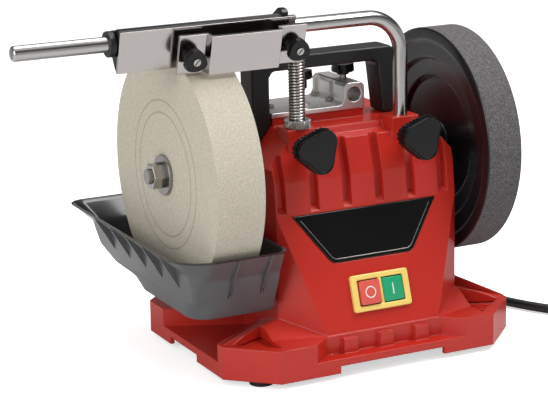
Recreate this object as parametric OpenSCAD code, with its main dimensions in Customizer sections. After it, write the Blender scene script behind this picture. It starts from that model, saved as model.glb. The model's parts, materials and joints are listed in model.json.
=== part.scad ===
// Compact wet grinding sharpener: a slow water-cooled stone on the left, a honing wheel on the right,
// one through shaft driven by a worm gear, and a bent-rod universal support with a straight-edge jig.
// Units are millimetres. X runs along the wheel shaft, -Y is the operator's side, Z is up, bench at Z 0.

/* [Grinding stone] */
// Outside diameter of the grinding stone
stone_d = 200; // [190:1:204]
// Width of the grinding stone
stone_w = 40; // [34:1:44]
// Bore moulded in the stone
stone_bore_d = 20; // [18:0.5:24]

/* [Honing wheel] */
// Outside diameter of the honing wheel
hone_d = 190; // [170:1:200]
// Width of the honing wheel
hone_w = 30; // [24:1:34]
// Thickness of the honing layer on the rim
hone_layer = 7; // [4:0.5:10]

/* [Wheel shaft] */
// Height of the shaft axis above the bench
shaft_h = 160; // [158:0.5:164]
// Diameter of the shaft where it runs in the bearings
shaft_d = 15; // [12:0.5:16]
// Thread diameter of the two shaft ends
shaft_end_d = 12; // [10:0.5:14]
// Gap between the stone and the tower wall
stone_gap = 31; // [28:0.5:36]
// Gap between the honing wheel and the tower wall
hone_gap = 9; // [7:0.5:14]

/* [Housing] */
// Length of the base along the shaft
base_l = 266; // [260:1:280]
// Depth of the base from front to back
base_w = 214; // [208:1:222]
// Height of the four corner lobes above the bench
deck_h = 32; // [30:0.5:36]
// Width of the tower along the shaft
tower_w = 166; // [162:1:172]
// Height of the tower roof above the wheel shaft
roof_rise = 29; // [27:0.5:33]
// Wall thickness of the moulding
wall = 3; // [2.5:0.1:3.4]
// Radius of the four holes for bench bolts
bench_bolt_r = 3.3; // [2.7:0.1:4.2]

/* [Universal support] */
// Diameter of the support rod
rod_d = 12; // [10:0.5:12.5]
// Distance between the two legs
leg_pitch = 95; // [92:0.5:98]
// Height of the bar axis above the top of the stone
bar_rise = 15.9; // [14:0.1:22]
// Length of the bar beyond the threaded leg
bar_reach = 236; // [215:1:245]
// Bend radius of the bar at the plain leg
bend_r = 30; // [24:1:34]
// Depth of the legs below the boss tops
leg_depth = 92; // [80:1:100]
// Outside diameter of the height setting nut
nut_d = 22; // [20:0.5:25]

/* [Jig] */
// Length of the straight-edge jig
jig_l = 145.5; // [140:0.5:155]
// Height of the polished base plate
jig_h = 34; // [30:0.5:37]
// Distance between the two jig knobs
jig_knob_pitch = 88; // [84:1:92]
// Angle the jig leans from upright
jig_lean = 16; // [10:1:20]

/* [Water tray] */
// Clearance between the stone and the tray floor
tray_clear = 4; // [3:0.5:6]
// Wall thickness of the tray
tray_wall = 2.4; // [2:0.1:3]

/* [Knobs] */
// Size of the rounded-triangle clamp knobs
knob_d = 39; // [36:1:42]
// Thickness of the clamp knobs
knob_t = 11; // [9:0.5:13]

/* [Drive] */
// Module of the worm gear
gear_m = 1.9; // [1.8:0.05:1.9]
// Diameter of the motor stator
stator_d = 84; // [76:1:86]
// Height of the stator stack
stator_h = 46; // [38:1:48]

/* [Hidden] */
$fn = 64;

// ---- shaft line -------------------------------------------------------------------------------
sy = -5;
sz = shaft_h;
tx = 3;
tower_h = shaft_h + roof_rise;
shell_x = tx + 3;
tower_l = shell_x - tower_w / 2;
tower_r = shell_x + tower_w / 2;
stone_in = tower_l - stone_gap;
stone_out = stone_in - stone_w;
hone_in = tower_r + hone_gap;
disc_r = hone_d / 2 - hone_layer;
hone_hub = 14;
run = 0.04;

// ---- housing ----------------------------------------------------------------------------------
foot_h = 5;
floor_h = 17;
hb = base_l / 2;
hd = base_w / 2;
front_low = -91;
front_knee = -60;
knee_h = tower_h - 62;
kink_h = tower_h - 36;
kink_y = -57;
crest_h = tower_h - 7;
crest_y = -48;
gutter_y = -36;
top_y = -33;
back_y = 75;
panel_slope = (front_knee - front_low) / (knee_h - deck_h + 1);
lean = atan(panel_slope);
panel_w = 102;
badge_h = knee_h - 21;
switch_h = deck_h + 28;
groove_w = 8;
groove_d = 6;
groove_p = 29.8;
roof_drop = 26;
roof_run = 21;
bear_at = 67;
bench_x = 104;
bench_y = 82;

// ---- support ----------------------------------------------------------------------------------
leg_y = -42;
leg_l = -leg_pitch / 2;
leg_r = leg_pitch / 2;
bar_h = shaft_h + stone_d / 2 + bar_rise;
boss_h = tower_h + 4.5;
leg_run = 0.08;
rod_r = rod_d / 2;
bar_left = leg_l - bar_reach;
nut_h = 6.5;
clamp_h = tower_h - 8.5;
boss_d = 8.5;
knob_y = -60;

// ---- jig --------------------------------------------------------------------------------------
jig_right = leg_l - rod_r - 1;
jig_left = jig_right - jig_l;
jaw_half = 54;
jig_mid = jig_right - jaw_half + 6;

// ---- tray -------------------------------------------------------------------------------------
tray_floor = shaft_h - stone_d / 2 - tray_clear;
rail_at = [-14, 30];
rail_low = tray_floor + 6;
rail_top = tray_floor + 56;

// ---- bracket and handle -----------------------------------------------------------------------
ped_h = tower_h + 7;
br_x0 = -55;
br_x1 = 31;
br_y0 = -12;
br_y1 = 45;
sleeve_x = 21.5;
sleeve_h = ped_h + 12;
sleeve_w = 19;
screw_x = [-46, 10];
screw_y = [10, 36];

// ---- drive ------------------------------------------------------------------------------------
wheel_teeth = 24;
wheel_r = gear_m * wheel_teeth / 2;
worm_r = 9;
worm_y = sy + wheel_r + worm_r;
lead = 2 * PI * gear_m;
cover_z = foot_h + 6.3;
cover_t = 1.6;
mount_h = cover_z + cover_t;
stator_z = mount_h + 33;

// ---- cord -------------------------------------------------------------------------------------
cord_d = 8;
cord_exit = [66, 48];
coil_at = [262, -40];
coil_r = 40;
coil_w = 16;
coil_t = 16;
coil_z = 0.8;
cord_route = [[66, 100, 48], [66, 112, 47], [71, 128, 37], [84, 142, 20], [104, 143, 7.5], [124, 128, 4.8],
  [139, 102, 4.8], [149, 72, 4.8], [157, 42, 4.8], [165, 12, 4.8], [175, -16, 4.8], [188, -42, 4.8],
  [205, -66, 4.8], [226, -84, 4.8], [248, -92, 4.8]];
tail_route = [[304, -20, 12.8], [308, -6, 14], [312, 8, 17], [315, 22, 19], [317, 34, 19.5]];

// ---- helpers ----------------------------------------------------------------------------------
// edges of a polygon moved inwards by w
function edge_n(p, q) = let (d = q - p, l = norm(d)) [-d[1] / l, d[0] / l];
function meet(a, u, b, v) = let (k = ((b - a)[0] * v[1] - (b - a)[1] * v[0]) / (u[0] * v[1] - u[1] * v[0]))
  a + k * u;
function inset(p, w) = let (n = len(p)) [for (i = [0 : n - 1])
  let (a = p[(i + n - 1) % n], b = p[i], c = p[(i + 1) % n], m = edge_n(a, b), o = edge_n(b, c))
  meet(b + w * m, b - a, b + w * o, c - b)];
// points of a rounded triangle with small gripping serrations on its edge
function tri_r(a, r) = r * (0.905 + 0.078 * cos(3 * a) + 0.017 * cos(6 * a));
function knob_pts(r, n, s) = [for (i = [0 : n - 1]) let (a = i * 360 / n, k = tri_r(a, r) - (i % 2) * s)
  [k * cos(a), k * sin(a)]];

module box(x0, x1, y0, y1, z0, z1) {
  translate([x0, y0, z0]) cube([x1 - x0, y1 - y0, z1 - z0]);
}
// a solid of revolution about the shaft line
module on_shaft() {
  translate([0, sy, sz]) rotate([90, 0, 90]) children();
}
// a cylinder along X from x0 to x1, its axis through y, z
module x_cyl(x0, x1, y, z, r) {
  translate([x0, y, z]) rotate([0, 90, 0]) cylinder(h = x1 - x0, r = r);
}
// a cylinder along Y from y0 to y1, its axis through x, z
module y_cyl(y0, y1, x, z, r) {
  translate([x, y1, z]) rotate([90, 0, 0]) cylinder(h = y1 - y0, r = r);
}
// the leaning front panel: x along, y up the panel, z outwards, origin at height h on the panel
module on_panel(h) {
  translate([0, front_low + (h - deck_h + 1) * panel_slope, h]) rotate([90 - lean, 0, 0]) children();
}
// the jig's own frame: x along the bar, y up the plates, z outwards from the bar axis
module on_jig() {
  translate([0, leg_y, bar_h]) rotate([90 + jig_lean, 0, 0]) children();
}
// a section in Y and Z swept along X
module swept_x(x0, x1, pts) {
  translate([x0, 0, 0]) rotate([90, 0, 90]) linear_extrude(x1 - x0) polygon(pts);
}
// a section in X and Z swept along Y
module swept_y(y0, y1, pts) {
  translate([0, y1, 0]) rotate([90, 0, 0]) linear_extrude(y1 - y0) polygon(pts);
}

// ---- housing moulding -------------------------------------------------------------------------
deck_pts = [[-hb, -63], [-hb, -72], [-98, -hd + 1], [-66, -hd + 1], [-50, -92], [56, -92], [72, -hd + 1],
  [98, -hd + 1], [hb, -72], [hb, -63], [tower_r - 6, -18], [tower_r - 6, 14], [hb, 44], [hb, 72],
    [98, hd - 1],
  [-98, hd - 1], [-hb, 72], [-hb, 44], [tower_l + 6, 14], [tower_l + 6, -18]];
slab_pts = [[-hb, -72], [-98, -hd + 1], [98, -hd + 1], [hb, -72], [hb, 72], [98, hd - 1], [-98, hd - 1],
  [-hb, 72]];

// lower tower, w inside the outer surface
module tower_low(w, z0) {
  k = z0 - deck_h + 1;
  fy = front_low + k * panel_slope;
  ax = tx - panel_w / 2 + w * 0.75;
  bx = tx + panel_w / 2 - w * 0.75;
  l = tower_l + w;
  r = tower_r - w;
  f = fy + w * 1.05;
  g = front_knee + w * 1.05;
  b = back_y - w;
  pts = [[ax, f, z0], [bx, f, z0], [r, g, z0], [r, b, z0], [l, b, z0], [l, g, z0],
    [l, g, knee_h], [r, g, knee_h], [r, b, knee_h], [l, b, knee_h]];
  polyhedron(pts, [[0, 1, 2, 3, 4, 5], [6, 9, 8, 7], [0, 6, 7, 1], [1, 7, 2], [2, 7, 8, 3], [3, 8, 9, 4],
    [4, 9, 6, 5], [5, 6, 0]]);
}
// section of the upper tower, w inside the outer surface, front moved in by d
function upper_sec(w, d) = [[front_knee + w + d, knee_h], [back_y - w, knee_h], [back_y - w, tower_h - 10],
  [back_y - 10 - w, tower_h - w], [top_y + d, tower_h - w], [gutter_y + w + d, crest_h + 1 - w],
    [crest_y + w + d, crest_h - w],
  [kink_y + w + d, kink_h - w * 0.4]];
function roof(w) = [[tower_l + w, knee_h - 5], [tower_r - w, knee_h - 5],
  [tower_r - w, tower_h - roof_drop - w * 0.4],
  [tower_r - roof_run - w * 0.6, tower_h - w], [tower_l + roof_run + w * 0.6, tower_h - w],
  [tower_l + w, tower_h - roof_drop - w * 0.4]];
module tower_top(w, d, x0, x1) {
  intersection() {
    swept_x(x0, x1, upper_sec(w, d));
    swept_y(-120, 120, roof(w));
  }
}
// one of the upright grooves between the front ribs: a tapered channel with a sloping lower end
module groove(x) {
  crest = [crest_y, crest_h];
  over = crest + 0.35 * (crest - [kink_y, kink_h]);
  path = [[front_knee, knee_h], [kink_y, kink_h], crest, over];
  foot = path[0] + 0.2 * (path[1] - path[0]);
  wo = groove_w / 2 + 0.2;
  wi = groove_w / 2 - 1;
  pts = [for (i = [0 : 3]) let (o = path[i], n = i == 0 ? foot : o)
    each [[x - wo, o[0] - 1, o[1]], [x + wo, o[0] - 1, o[1]], [x + wi, n[0] + groove_d, n[1]],
      [x - wi, n[0] + groove_d, n[1]]]];
  polyhedron(pts, concat([[0, 1, 2, 3], [15, 14, 13, 12]],
    [for (k = [0 : 2], i = [0 : 3]) let (j = (i + 1) % 4)
    [4 * k + i, 4 * k + 4 + i, 4 * k + 4 + j, 4 * k + j]]));
}
// a front lobe's top, which climbs from the panel's edge and the lobe's corner to the tower's front corner,
// and to a lower point on the tower's wall at rear_y
module shoulder(wall_x, panel_x, deck_x, corner_h, rear_h, rear_y) {
  top = [[panel_x, front_low, deck_h], [deck_x, -69, deck_h], [wall_x, rear_y, deck_h + rear_h],
    [wall_x - 9, rear_y, deck_h + rear_h], [wall_x - 9, front_knee, deck_h + corner_h],
      [wall_x, front_knee, deck_h + corner_h]];
  low = [for (p = top) [p[0], p[1], deck_h - 2]];
  polyhedron(concat(low, top), [[0, 1, 2, 3, 4, 5], [6, 11, 7], [7, 11, 8], [8, 11, 10, 9], [6, 10, 11],
    [0, 6, 7, 1], [1, 7, 8, 2], [2, 8, 9, 3], [3, 9, 10, 4], [4, 10, 6], [4, 6, 0], [0, 5, 4]]);
}
module leg_boss(x) {
  box(x - 12.5, x + 12.5, leg_y - boss_d, leg_y + 13, knee_h - 9, boss_h);
}
module clamp_cut(x) {
  translate([x, leg_y, 90]) cylinder(h = 120, r = rod_r + leg_run);
  y_cyl(knob_y, leg_y, x, clamp_h, 3.05);
}
// three-sided recess round a front bolt, grown by w
function pocket_pts(k, w) = [for (q = inset([[25, 10], [-7, 25], [-6, -15]], -w))
  [k * (bench_x + q[0] - 5), q[1] - bench_y]];
pocket_d = 5;
module lobe_pocket(sx, sy2) {
  if (sy2 > 0) translate([sx * bench_x, sy2 * bench_y, deck_h - pocket_d]) cylinder(h = 10, r = 9);
  else translate([0, 0, deck_h - pocket_d]) linear_extrude(30) polygon(pocket_pts(sx, 0));
  translate([sx * bench_x, sy2 * bench_y, -1]) cylinder(h = 60, r = bench_bolt_r);
  translate([sx * bench_x, sy2 * bench_y, 0]) cylinder(h = foot_h + 5.3, r = 7.1);
}
module housing() {
  color([0.76, 0.09, 0.07]) difference() {
    union() {
      difference() {
        union() {
          translate([0, 0, foot_h]) linear_extrude(deck_h - foot_h) polygon(deck_pts);
          translate([0, 0, foot_h]) linear_extrude(floor_h - foot_h) polygon(slab_pts);
          tower_low(0, deck_h - 1);
          tower_top(0, 0, tower_l, tower_r);
          shoulder(tower_r, tx + panel_w / 2, hb - 2, 12.5, 9, -26);
          mirror([1, 0, 0]) shoulder(-tower_l, panel_w / 2 - tx, hb - 2, 11, 2, -28);
          // stiffening web behind the lobe on the honing side
          intersection() {
            translate([0, 0, deck_h - 1]) linear_extrude(40)
              polygon([[hb, -63], [hb, -67], [tower_r - 6, -22.6], [tower_r - 6, -18]]);
            swept_y(-80, 0, [[tower_r - 8, deck_h - 2], [hb + 1, deck_h - 2], [hb + 1, deck_h],
              [tower_r - 8, deck_h + 25]]);
          }
        }
        translate([0, 0, foot_h - 1]) linear_extrude(deck_h - foot_h + 1 - wall)
          polygon(inset(deck_pts, wall + 0.5));
        translate([0, 0, foot_h - 1]) linear_extrude(floor_h - foot_h + 1 - wall)
          polygon(inset(slab_pts, wall + 0.5));
        tower_low(wall, deck_h - 4);
        translate([0, 0, -0.5]) tower_top(wall, groove_d, tower_l + wall, tower_r - wall);
        for (i = [-2.5 : 2.5]) groove(tx + i * groove_p);
      }
      // pads that close the recesses of the front lobes from below
      for (k = [-1, 1]) translate([0, 0, deck_h - pocket_d - wall]) linear_extrude(wall + 1)
        polygon(pocket_pts(k, wall));
      for (x = [leg_l, leg_r]) leg_boss(x);
      // square lugs on the front edge
      for (x = [-30, 3, 36]) box(x - 6.5, x + 6.5, -96, -91, floor_h - 1, deck_h - 3);
      // pedestal of the bracket
      box(br_x0 + 1, br_x1 - 1, br_y0 + 1, br_y1 - 1, tower_h - 1, ped_h);
      // bench bolt columns
      for (sx = [-1, 1], k = [-1, 1]) translate([sx * bench_x, k * bench_y, foot_h + 2.2])
        cylinder(h = deck_h - foot_h - 3, r = 12);
      // bearing blocks under the roof
      for (x = [tx - bear_at, tx + bear_at - 14]) intersection() {
        box(x, x + 14, -26, 18, sz - 30, tower_h);
        tower_top(1, groove_d, tower_l, tower_r);
      }
      // rails the tray hooks ride on
      for (y = rail_at) {
        box(tower_l - 2.5, tower_l + 1, y - 3, y + 3, rail_low, rail_top);
        box(tower_l - 4.5, tower_l - 2, y - 6, y + 6, rail_low, rail_top);
      }
    }
    for (x = [leg_l, leg_r]) clamp_cut(x);
    for (sx = [-1, 1], k = [-1, 1]) lobe_pocket(sx, k);
    // arches under the four sides
    box(-hb - 1, hb + 1, -22, 30, foot_h - 1, foot_h + 6);
    box(-45, 51, -hd - 1, hd + 1, foot_h - 1, foot_h + 6);
    // shaft way through both walls, and the bearing pockets
    x_cyl(tower_l - 1, tower_r + 1, sy, sz, shaft_d / 2 + 2);
    x_cyl(tx - bear_at + 3, tx + bear_at - 3, sy, sz, 17.5 + run);
    // switch window and badge recess
    on_panel(switch_h) translate([sw_x, 0, 0]) translate([-22, -12.5, -10]) cube([44, 25, 20]);
    on_panel(badge_h) translate([0, 0, -1.2]) linear_extrude(10) polygon(badge_pts(0.3));
    // cord exit at the back right
    y_cyl(back_y - 8, back_y + 8, cord_exit[0], cord_exit[1], cord_d / 2 + 1.7);
    // cooling slots in the back wall
    for (i = [0 : 6]) box(-46 + i * 14, -41 + i * 14, back_y - 8, back_y + 8, 70, 120);
    // screws of the bracket and handle
    for (x = screw_x, y = screw_y) translate([x, y, tower_h - 12]) cylinder(h = 30, r = 1.9);
  }
}

// ---- closing parts under and on the housing ---------------------------------------------------
module bottom_cover() {
  color([0.35, 0.36, 0.37]) translate([0, 0, cover_z]) linear_extrude(cover_t) difference() {
    polygon(inset(slab_pts, wall + 1));
    for (sx = [-1, 1], k = [-1, 1]) translate([sx * bench_x, k * bench_y]) circle(r = 12.4);
  }
}
module rubber_feet() {
  color([0.05, 0.05, 0.05]) for (sx = [-1, 1], k = [-1, 1]) translate([sx * bench_x, k * bench_y, 0])
    difference() {
    union() {
      cylinder(h = foot_h, r = 10);
      cylinder(h = foot_h + 5, r = 7);
    }
    translate([0, 0, -1]) cylinder(h = 20, r = bench_bolt_r);
  }
}
// outline of the badge, g wider than the plate all round
function badge_pts(g) = [[tx - 66 - g, 20.5 + g], [tx - 39 - g, -18], [tx - 35, -20.8 - g],
  [tx + 35, -20.8 - g],
  [tx + 39 + g, -18], [tx + 66 + g, 20.5 + g]];
module badge_plate() {
  color([0.02, 0.02, 0.02]) on_panel(badge_h) translate([0, 0, -1]) linear_extrude(1.7) polygon(badge_pts(0));
}

// ---- switch -----------------------------------------------------------------------------------
sw_x = 4.5;
module switch_frame() {
  color([0.93, 0.80, 0.28]) on_panel(switch_h) translate([sw_x, 0, 0.2]) difference() {
    translate([-26.5, -17, 0]) cube([53, 34, 3]);
    translate([-21.9, -12.4, -1]) cube([43.8, 24.8, 5]);
  }
}
module switch_body() {
  color([0.08, 0.08, 0.08]) on_panel(switch_h) translate([sw_x, 0, 0]) difference() {
    translate([-21.6, -12.1, -26]) cube([43.2, 24.2, 27.5]);
    for (x = [-10.6, 10.6]) translate([x - 10.1, -10.9, -7.5]) cube([20.2, 21.8, 12]);
  }
}
module button(x, z1, c) {
  color(c) on_panel(switch_h) translate([sw_x + x - 9.8, -10.6, -4.5]) cube([19.6, 21.2, 4.5 + z1]);
}
module stop_button() {
  button(-10.6, 5, [0.72, 0.09, 0.09]);
}
module start_button() {
  button(10.6, 3.2, [0.03, 0.45, 0.30]);
}

// ---- wheel shaft and what turns with it -------------------------------------------------------
module bearing(x) {
  color([0.6, 0.6, 0.62]) on_shaft() translate([0, 0, x]) difference() {
    cylinder(h = 11, r = 17.5);
    translate([0, 0, -1]) cylinder(h = 13, r = shaft_d / 2 + run);
    for (z = [-1, 10]) translate([0, 0, z]) difference() {
      cylinder(h = 2, r = 14.5);
      cylinder(h = 2, r = 10.5);
    }
  }
}
module bearing_left() {
  bearing(tx - bear_at + 3.3);
}
module bearing_right() {
  bearing(tx + bear_at - 14.3);
}
module main_shaft() {
  color([0.7, 0.71, 0.73]) on_shaft() {
    translate([0, 0, stone_out - 16]) cylinder(h = stone_w + 20, r = shaft_end_d / 2);
    translate([0, 0, stone_in + 4]) cylinder(h = hone_in - stone_in - 8, r = shaft_d / 2);
    translate([0, 0, hone_in - 4]) cylinder(h = hone_w + 2, r = shaft_end_d / 2);
  }
}
module grinding_stone() {
  color([0.72, 0.70, 0.62]) on_shaft() translate([0, 0, stone_out]) difference() {
    cylinder(h = stone_w, d = stone_d, $fn = 120);
    translate([0, 0, -1]) cylinder(h = stone_w + 2, d = stone_bore_d);
  }
}
module stone_bush() {
  color([0.85, 0.85, 0.82]) on_shaft() translate([0, 0, stone_out + 0.5]) difference() {
    cylinder(h = stone_w - 1, r = stone_bore_d / 2 - 0.05);
    translate([0, 0, -1]) cylinder(h = stone_w + 2, r = shaft_end_d / 2 + 0.05);
  }
}
module stone_flange() {
  color([0.6, 0.61, 0.63]) on_shaft() translate([0, 0, stone_in]) difference() {
    union() {
      cylinder(h = 4, r = 30);
      cylinder(h = stone_gap - 2, r = 11);
    }
    translate([0, 0, -1]) cylinder(h = 5, r = shaft_end_d / 2 + 0.05);
    translate([0, 0, 4]) cylinder(h = stone_gap, r = shaft_d / 2 + 0.05);
  }
}
module stone_washer() {
  color([0.7, 0.71, 0.73]) on_shaft() translate([0, 0, stone_out - 3]) difference() {
    cylinder(h = 3, r = 16.5);
    translate([0, 0, -1]) cylinder(h = 5, r = shaft_end_d / 2 + 0.05);
  }
}
module hex_nut(x, h) {
  on_shaft() translate([0, 0, x]) difference() {
    cylinder(h = h, r = 19 / sqrt(3), $fn = 6);
    translate([0, 0, -1]) cylinder(h = h + 2, r = shaft_end_d / 2 + 0.05);
  }
}
module stone_nut() {
  color([0.75, 0.76, 0.78]) hex_nut(stone_out - 13, 10);
}
module honing_disc() {
  color([0.04, 0.04, 0.04]) on_shaft() difference() {
    translate([0, 0, hone_in]) rotate_extrude($fn = 120) polygon([[0, -4], [hone_hub, -4], [hone_hub, 9],
      [disc_r - 36, 9], [disc_r - 34, 6], [disc_r - 20, 5], [disc_r - 18, 1.5], [disc_r - 5, 1.5], [disc_r - 4, 0],
      [disc_r - 0.05, 0], [disc_r - 0.05, hone_w], [disc_r - 5, hone_w], [disc_r - 7, 6], [disc_r - 17, 6],
      [disc_r - 19, 9.5], [disc_r - 33, 10.5], [disc_r - 35, 13.5], [hone_hub, 13.5], [hone_hub, 16], [0, 16]]);
    translate([0, 0, hone_in - 6]) cylinder(h = hone_w, r = shaft_end_d / 2 + 0.05);
  }
}
module honing_band() {
  color([0.34, 0.33, 0.34]) on_shaft() translate([0, 0, hone_in]) difference() {
    cylinder(h = hone_w, d = hone_d, $fn = 120);
    translate([0, 0, -1]) cylinder(h = hone_w + 2, r = disc_r, $fn = 120);
  }
}
module honing_nut() {
  color([0.75, 0.76, 0.78]) hex_nut(hone_in + 16.3, 9);
}

// ---- worm drive and motor ---------------------------------------------------------------------
tooth_half = PI * gear_m / 4 - 0.27;
pressure = tan(20);
function tooth(a) = let (rt = wheel_r - 1.2 * gear_m, ro = wheel_r + gear_m,
  wt = (tooth_half + 1.2 * gear_m * pressure) / rt * 57.3, wo = (tooth_half - gear_m * pressure) / ro * 57.3,
  wp = tooth_half / wheel_r * 57.3) [[rt, a - wt], [wheel_r, a - wp], [ro, a - wo], [ro, a + wo],
    [wheel_r, a + wp], [rt, a + wt]];
function polar(p) = [for (q = p) [q[0] * cos(q[1]), q[0] * sin(q[1])]];
wheel_w = 10;
module worm_wheel() {
  twist_w = atan(lead / (2 * PI * worm_r));
  turn = wheel_w * tan(twist_w) / wheel_r * 57.3;
  color([0.72, 0.56, 0.25]) on_shaft() translate([0, 0, tx - wheel_w / 2]) difference() {
    rotate([0, 0, -turn / 2]) linear_extrude(wheel_w, twist = -turn, slices = 6)
      polygon(polar([for (i = [0 : wheel_teeth - 1]) each tooth(i * 360 / wheel_teeth)]));
    translate([0, 0, -1]) cylinder(h = wheel_w + 2, r = shaft_d / 2 + 0.05);
  }
}
// one start of the worm's cross-section: radius and half angle
function start(a) = let (k = 180 / (PI * gear_m))
  [[worm_r - 1.2 * gear_m, a - (tooth_half + 1.2 * gear_m * pressure) * k], [worm_r, a - tooth_half * k],
   [worm_r + 0.6 * gear_m, a - (tooth_half - 0.6 * gear_m * pressure) * k],
     [worm_r + gear_m, a - (tooth_half - gear_m * pressure) * k],
   [worm_r + gear_m, a], [worm_r + gear_m, a + (tooth_half - gear_m * pressure) * k],
   [worm_r + 0.6 * gear_m, a + (tooth_half - 0.6 * gear_m * pressure) * k], [worm_r, a + tooth_half * k],
   [worm_r - 1.2 * gear_m, a + (tooth_half + 1.2 * gear_m * pressure) * k], [worm_r - 1.2 * gear_m, a + 90]];
module worm() {
  worm_l = 34;
  z0 = sz - worm_l / 2;
  color([0.62, 0.63, 0.65]) translate([tx, worm_y, z0]) difference() {
    rotate([0, 0, -180 * worm_l / lead]) linear_extrude(worm_l, twist = -360 * worm_l / lead, slices = 44)
      polygon(polar([each start(0), each start(180)]));
    translate([0, 0, -1]) cylinder(h = worm_l + 2, r = 5.05);
  }
}
module worm_bush() {
  color([0.72, 0.56, 0.25]) translate([tx, worm_y, 0]) difference() {
    translate([0, 0, sz + 19]) cylinder(h = tower_h - wall - 0.6 - sz - 19, r = 9);
    cylinder(h = sz + 25, r = 5 + run);
  }
}
module motor_shaft() {
  color([0.7, 0.71, 0.73]) translate([tx, worm_y, mount_h + 4]) cylinder(h = sz + 24.5 - mount_h - 4, r = 5);
}
module motor_stator() {
  color([0.42, 0.42, 0.44]) translate([tx, worm_y, stator_z]) difference() {
    cylinder(h = stator_h, d = stator_d);
    translate([0, 0, -1]) cylinder(h = stator_h + 2, r = 22.4);
  }
}
module motor_windings() {
  color([0.72, 0.35, 0.14]) translate([tx, worm_y, 0]) for (z = [stator_z - 14, stator_z + stator_h])
    difference() {
    translate([0, 0, z]) cylinder(h = 14, r = 37);
    translate([0, 0, z - 1]) cylinder(h = 16, r = 25);
  }
}
// a cup that closes one end of the motor, open side up, h deep
module end_shield(h) {
  difference() {
    cylinder(h = h, d = stator_d);
    translate([0, 0, 5]) cylinder(h = h, r = stator_d / 2 - 3);
    translate([0, 0, -1]) cylinder(h = h, r = 5 + run);
    for (a = [0 : 60 : 300]) rotate([0, 0, a + 30]) translate([24, 0, -1]) cylinder(h = 8, r = 6);
  }
}
module motor_lower_shield() {
  color([0.62, 0.63, 0.65]) translate([tx, worm_y, 0]) {
    translate([0, 0, stator_z - 20]) end_shield(20);
    for (a = [90 : 120 : 330]) rotate([0, 0, a]) translate([stator_d / 2 - 6, 0, mount_h])
      cylinder(h = stator_z - 20 - mount_h, r = 5);
  }
}
module motor_upper_shield() {
  color([0.62, 0.63, 0.65]) translate([tx, worm_y, stator_z + stator_h + 20]) mirror([0, 0, 1])
    end_shield(20);
}
module motor_rotor() {
  color([0.5, 0.5, 0.52]) translate([tx, worm_y, stator_z]) difference() {
    cylinder(h = stator_h, r = 21.8);
    translate([0, 0, -1]) cylinder(h = stator_h + 2, r = 5.05);
  }
}
module cooling_fan() {
  color([0.1, 0.1, 0.1]) translate([tx, worm_y, stator_z - 11]) difference() {
    union() {
      cylinder(h = 9, r = 8);
      cylinder(h = 1.5, r = 22);
      for (a = [0 : 45 : 315]) rotate([0, 0, a]) translate([7, -0.75, 0]) cube([15, 1.5, 9]);
    }
    translate([0, 0, -1]) cylinder(h = 12, r = 5.05);
  }
}
module capacitor() {
  color([0.85, 0.85, 0.83]) translate([-54, 52, mount_h]) cylinder(h = 58, r = 14);
}

// ---- bracket with the level sleeve, and the handle --------------------------------------------
module bracket() {
  color([0.70, 0.71, 0.73]) difference() {
    union() {
      box(br_x0, br_x1, br_y0, br_y1, ped_h, ped_h + 4);
      swept_y(br_y0, br_y1, [[sleeve_x - 15, ped_h + 3], [sleeve_x + 9.5, ped_h + 3],
        [sleeve_x + 9.5, ped_h + 19],
        [sleeve_x + 6.5, ped_h + 22], [sleeve_x - 6.5, ped_h + 22], [sleeve_x - 9.5, ped_h + 19],
        [sleeve_x - 9.5, ped_h + 9], [sleeve_x - 11.5, ped_h + 5]]);
      translate([lock_x, lock_y, ped_h + 3]) cylinder(h = 5, r = 7);
    }
    y_cyl(br_y0 - 1, br_y1 + 1, sleeve_x, sleeve_h, 6.1);
    translate([sleeve_x, clamp_y, sleeve_h]) cylinder(h = 20, r = 3.05);
    translate([lock_x, lock_y, ped_h - 1]) cylinder(h = 20, r = 3.05);
    for (x = screw_x, y = screw_y) translate([x, y, ped_h - 1]) cylinder(h = 20, r = 2.3);
    for (x = screw_x, y = screw_y) translate([x, y, ped_h + 4]) cylinder(h = 20, r = 4.4);
  }
}
clamp_y = 8;
lock_x = -22.5;
lock_y = -1;
module bracket_screws() {
  color([0.75, 0.76, 0.78]) for (x = screw_x, y = screw_y) translate([x, y, ped_h - 14]) {
    cylinder(h = 18.2, r = 1.85);
    translate([0, 0, 18.05]) difference() {
      cylinder(h = 2.6, r = 3.8);
      translate([0, 0, 1]) cylinder(h = 3, r = 1.7, $fn = 6);
    }
  }
}
module carry_handle() {
  hx0 = -72;
  hx1 = 60;
  hz1 = tower_h + 57;
  color([0.04, 0.04, 0.04]) swept_y(br_y0, br_y0 + 24, [
    [hx0, tower_h - roof_drop + roof_drop / roof_run * (hx0 - tower_l) + 1.2], [hx0 + 16, tower_h + 0.3],
      [hx0 + 16, tower_h + 40], [hx0 + 19, tower_h + 45],
    [hx1 - 19, tower_h + 45], [hx1 - 16, tower_h + 42], [hx1 - 11, tower_h + 0.3], [hx1, tower_h + 0.3],
      [hx1, hz1 - 4],
    [hx1 - 4, hz1], [hx0 + 4, hz1], [hx0, hz1 - 4]]);
}

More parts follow.
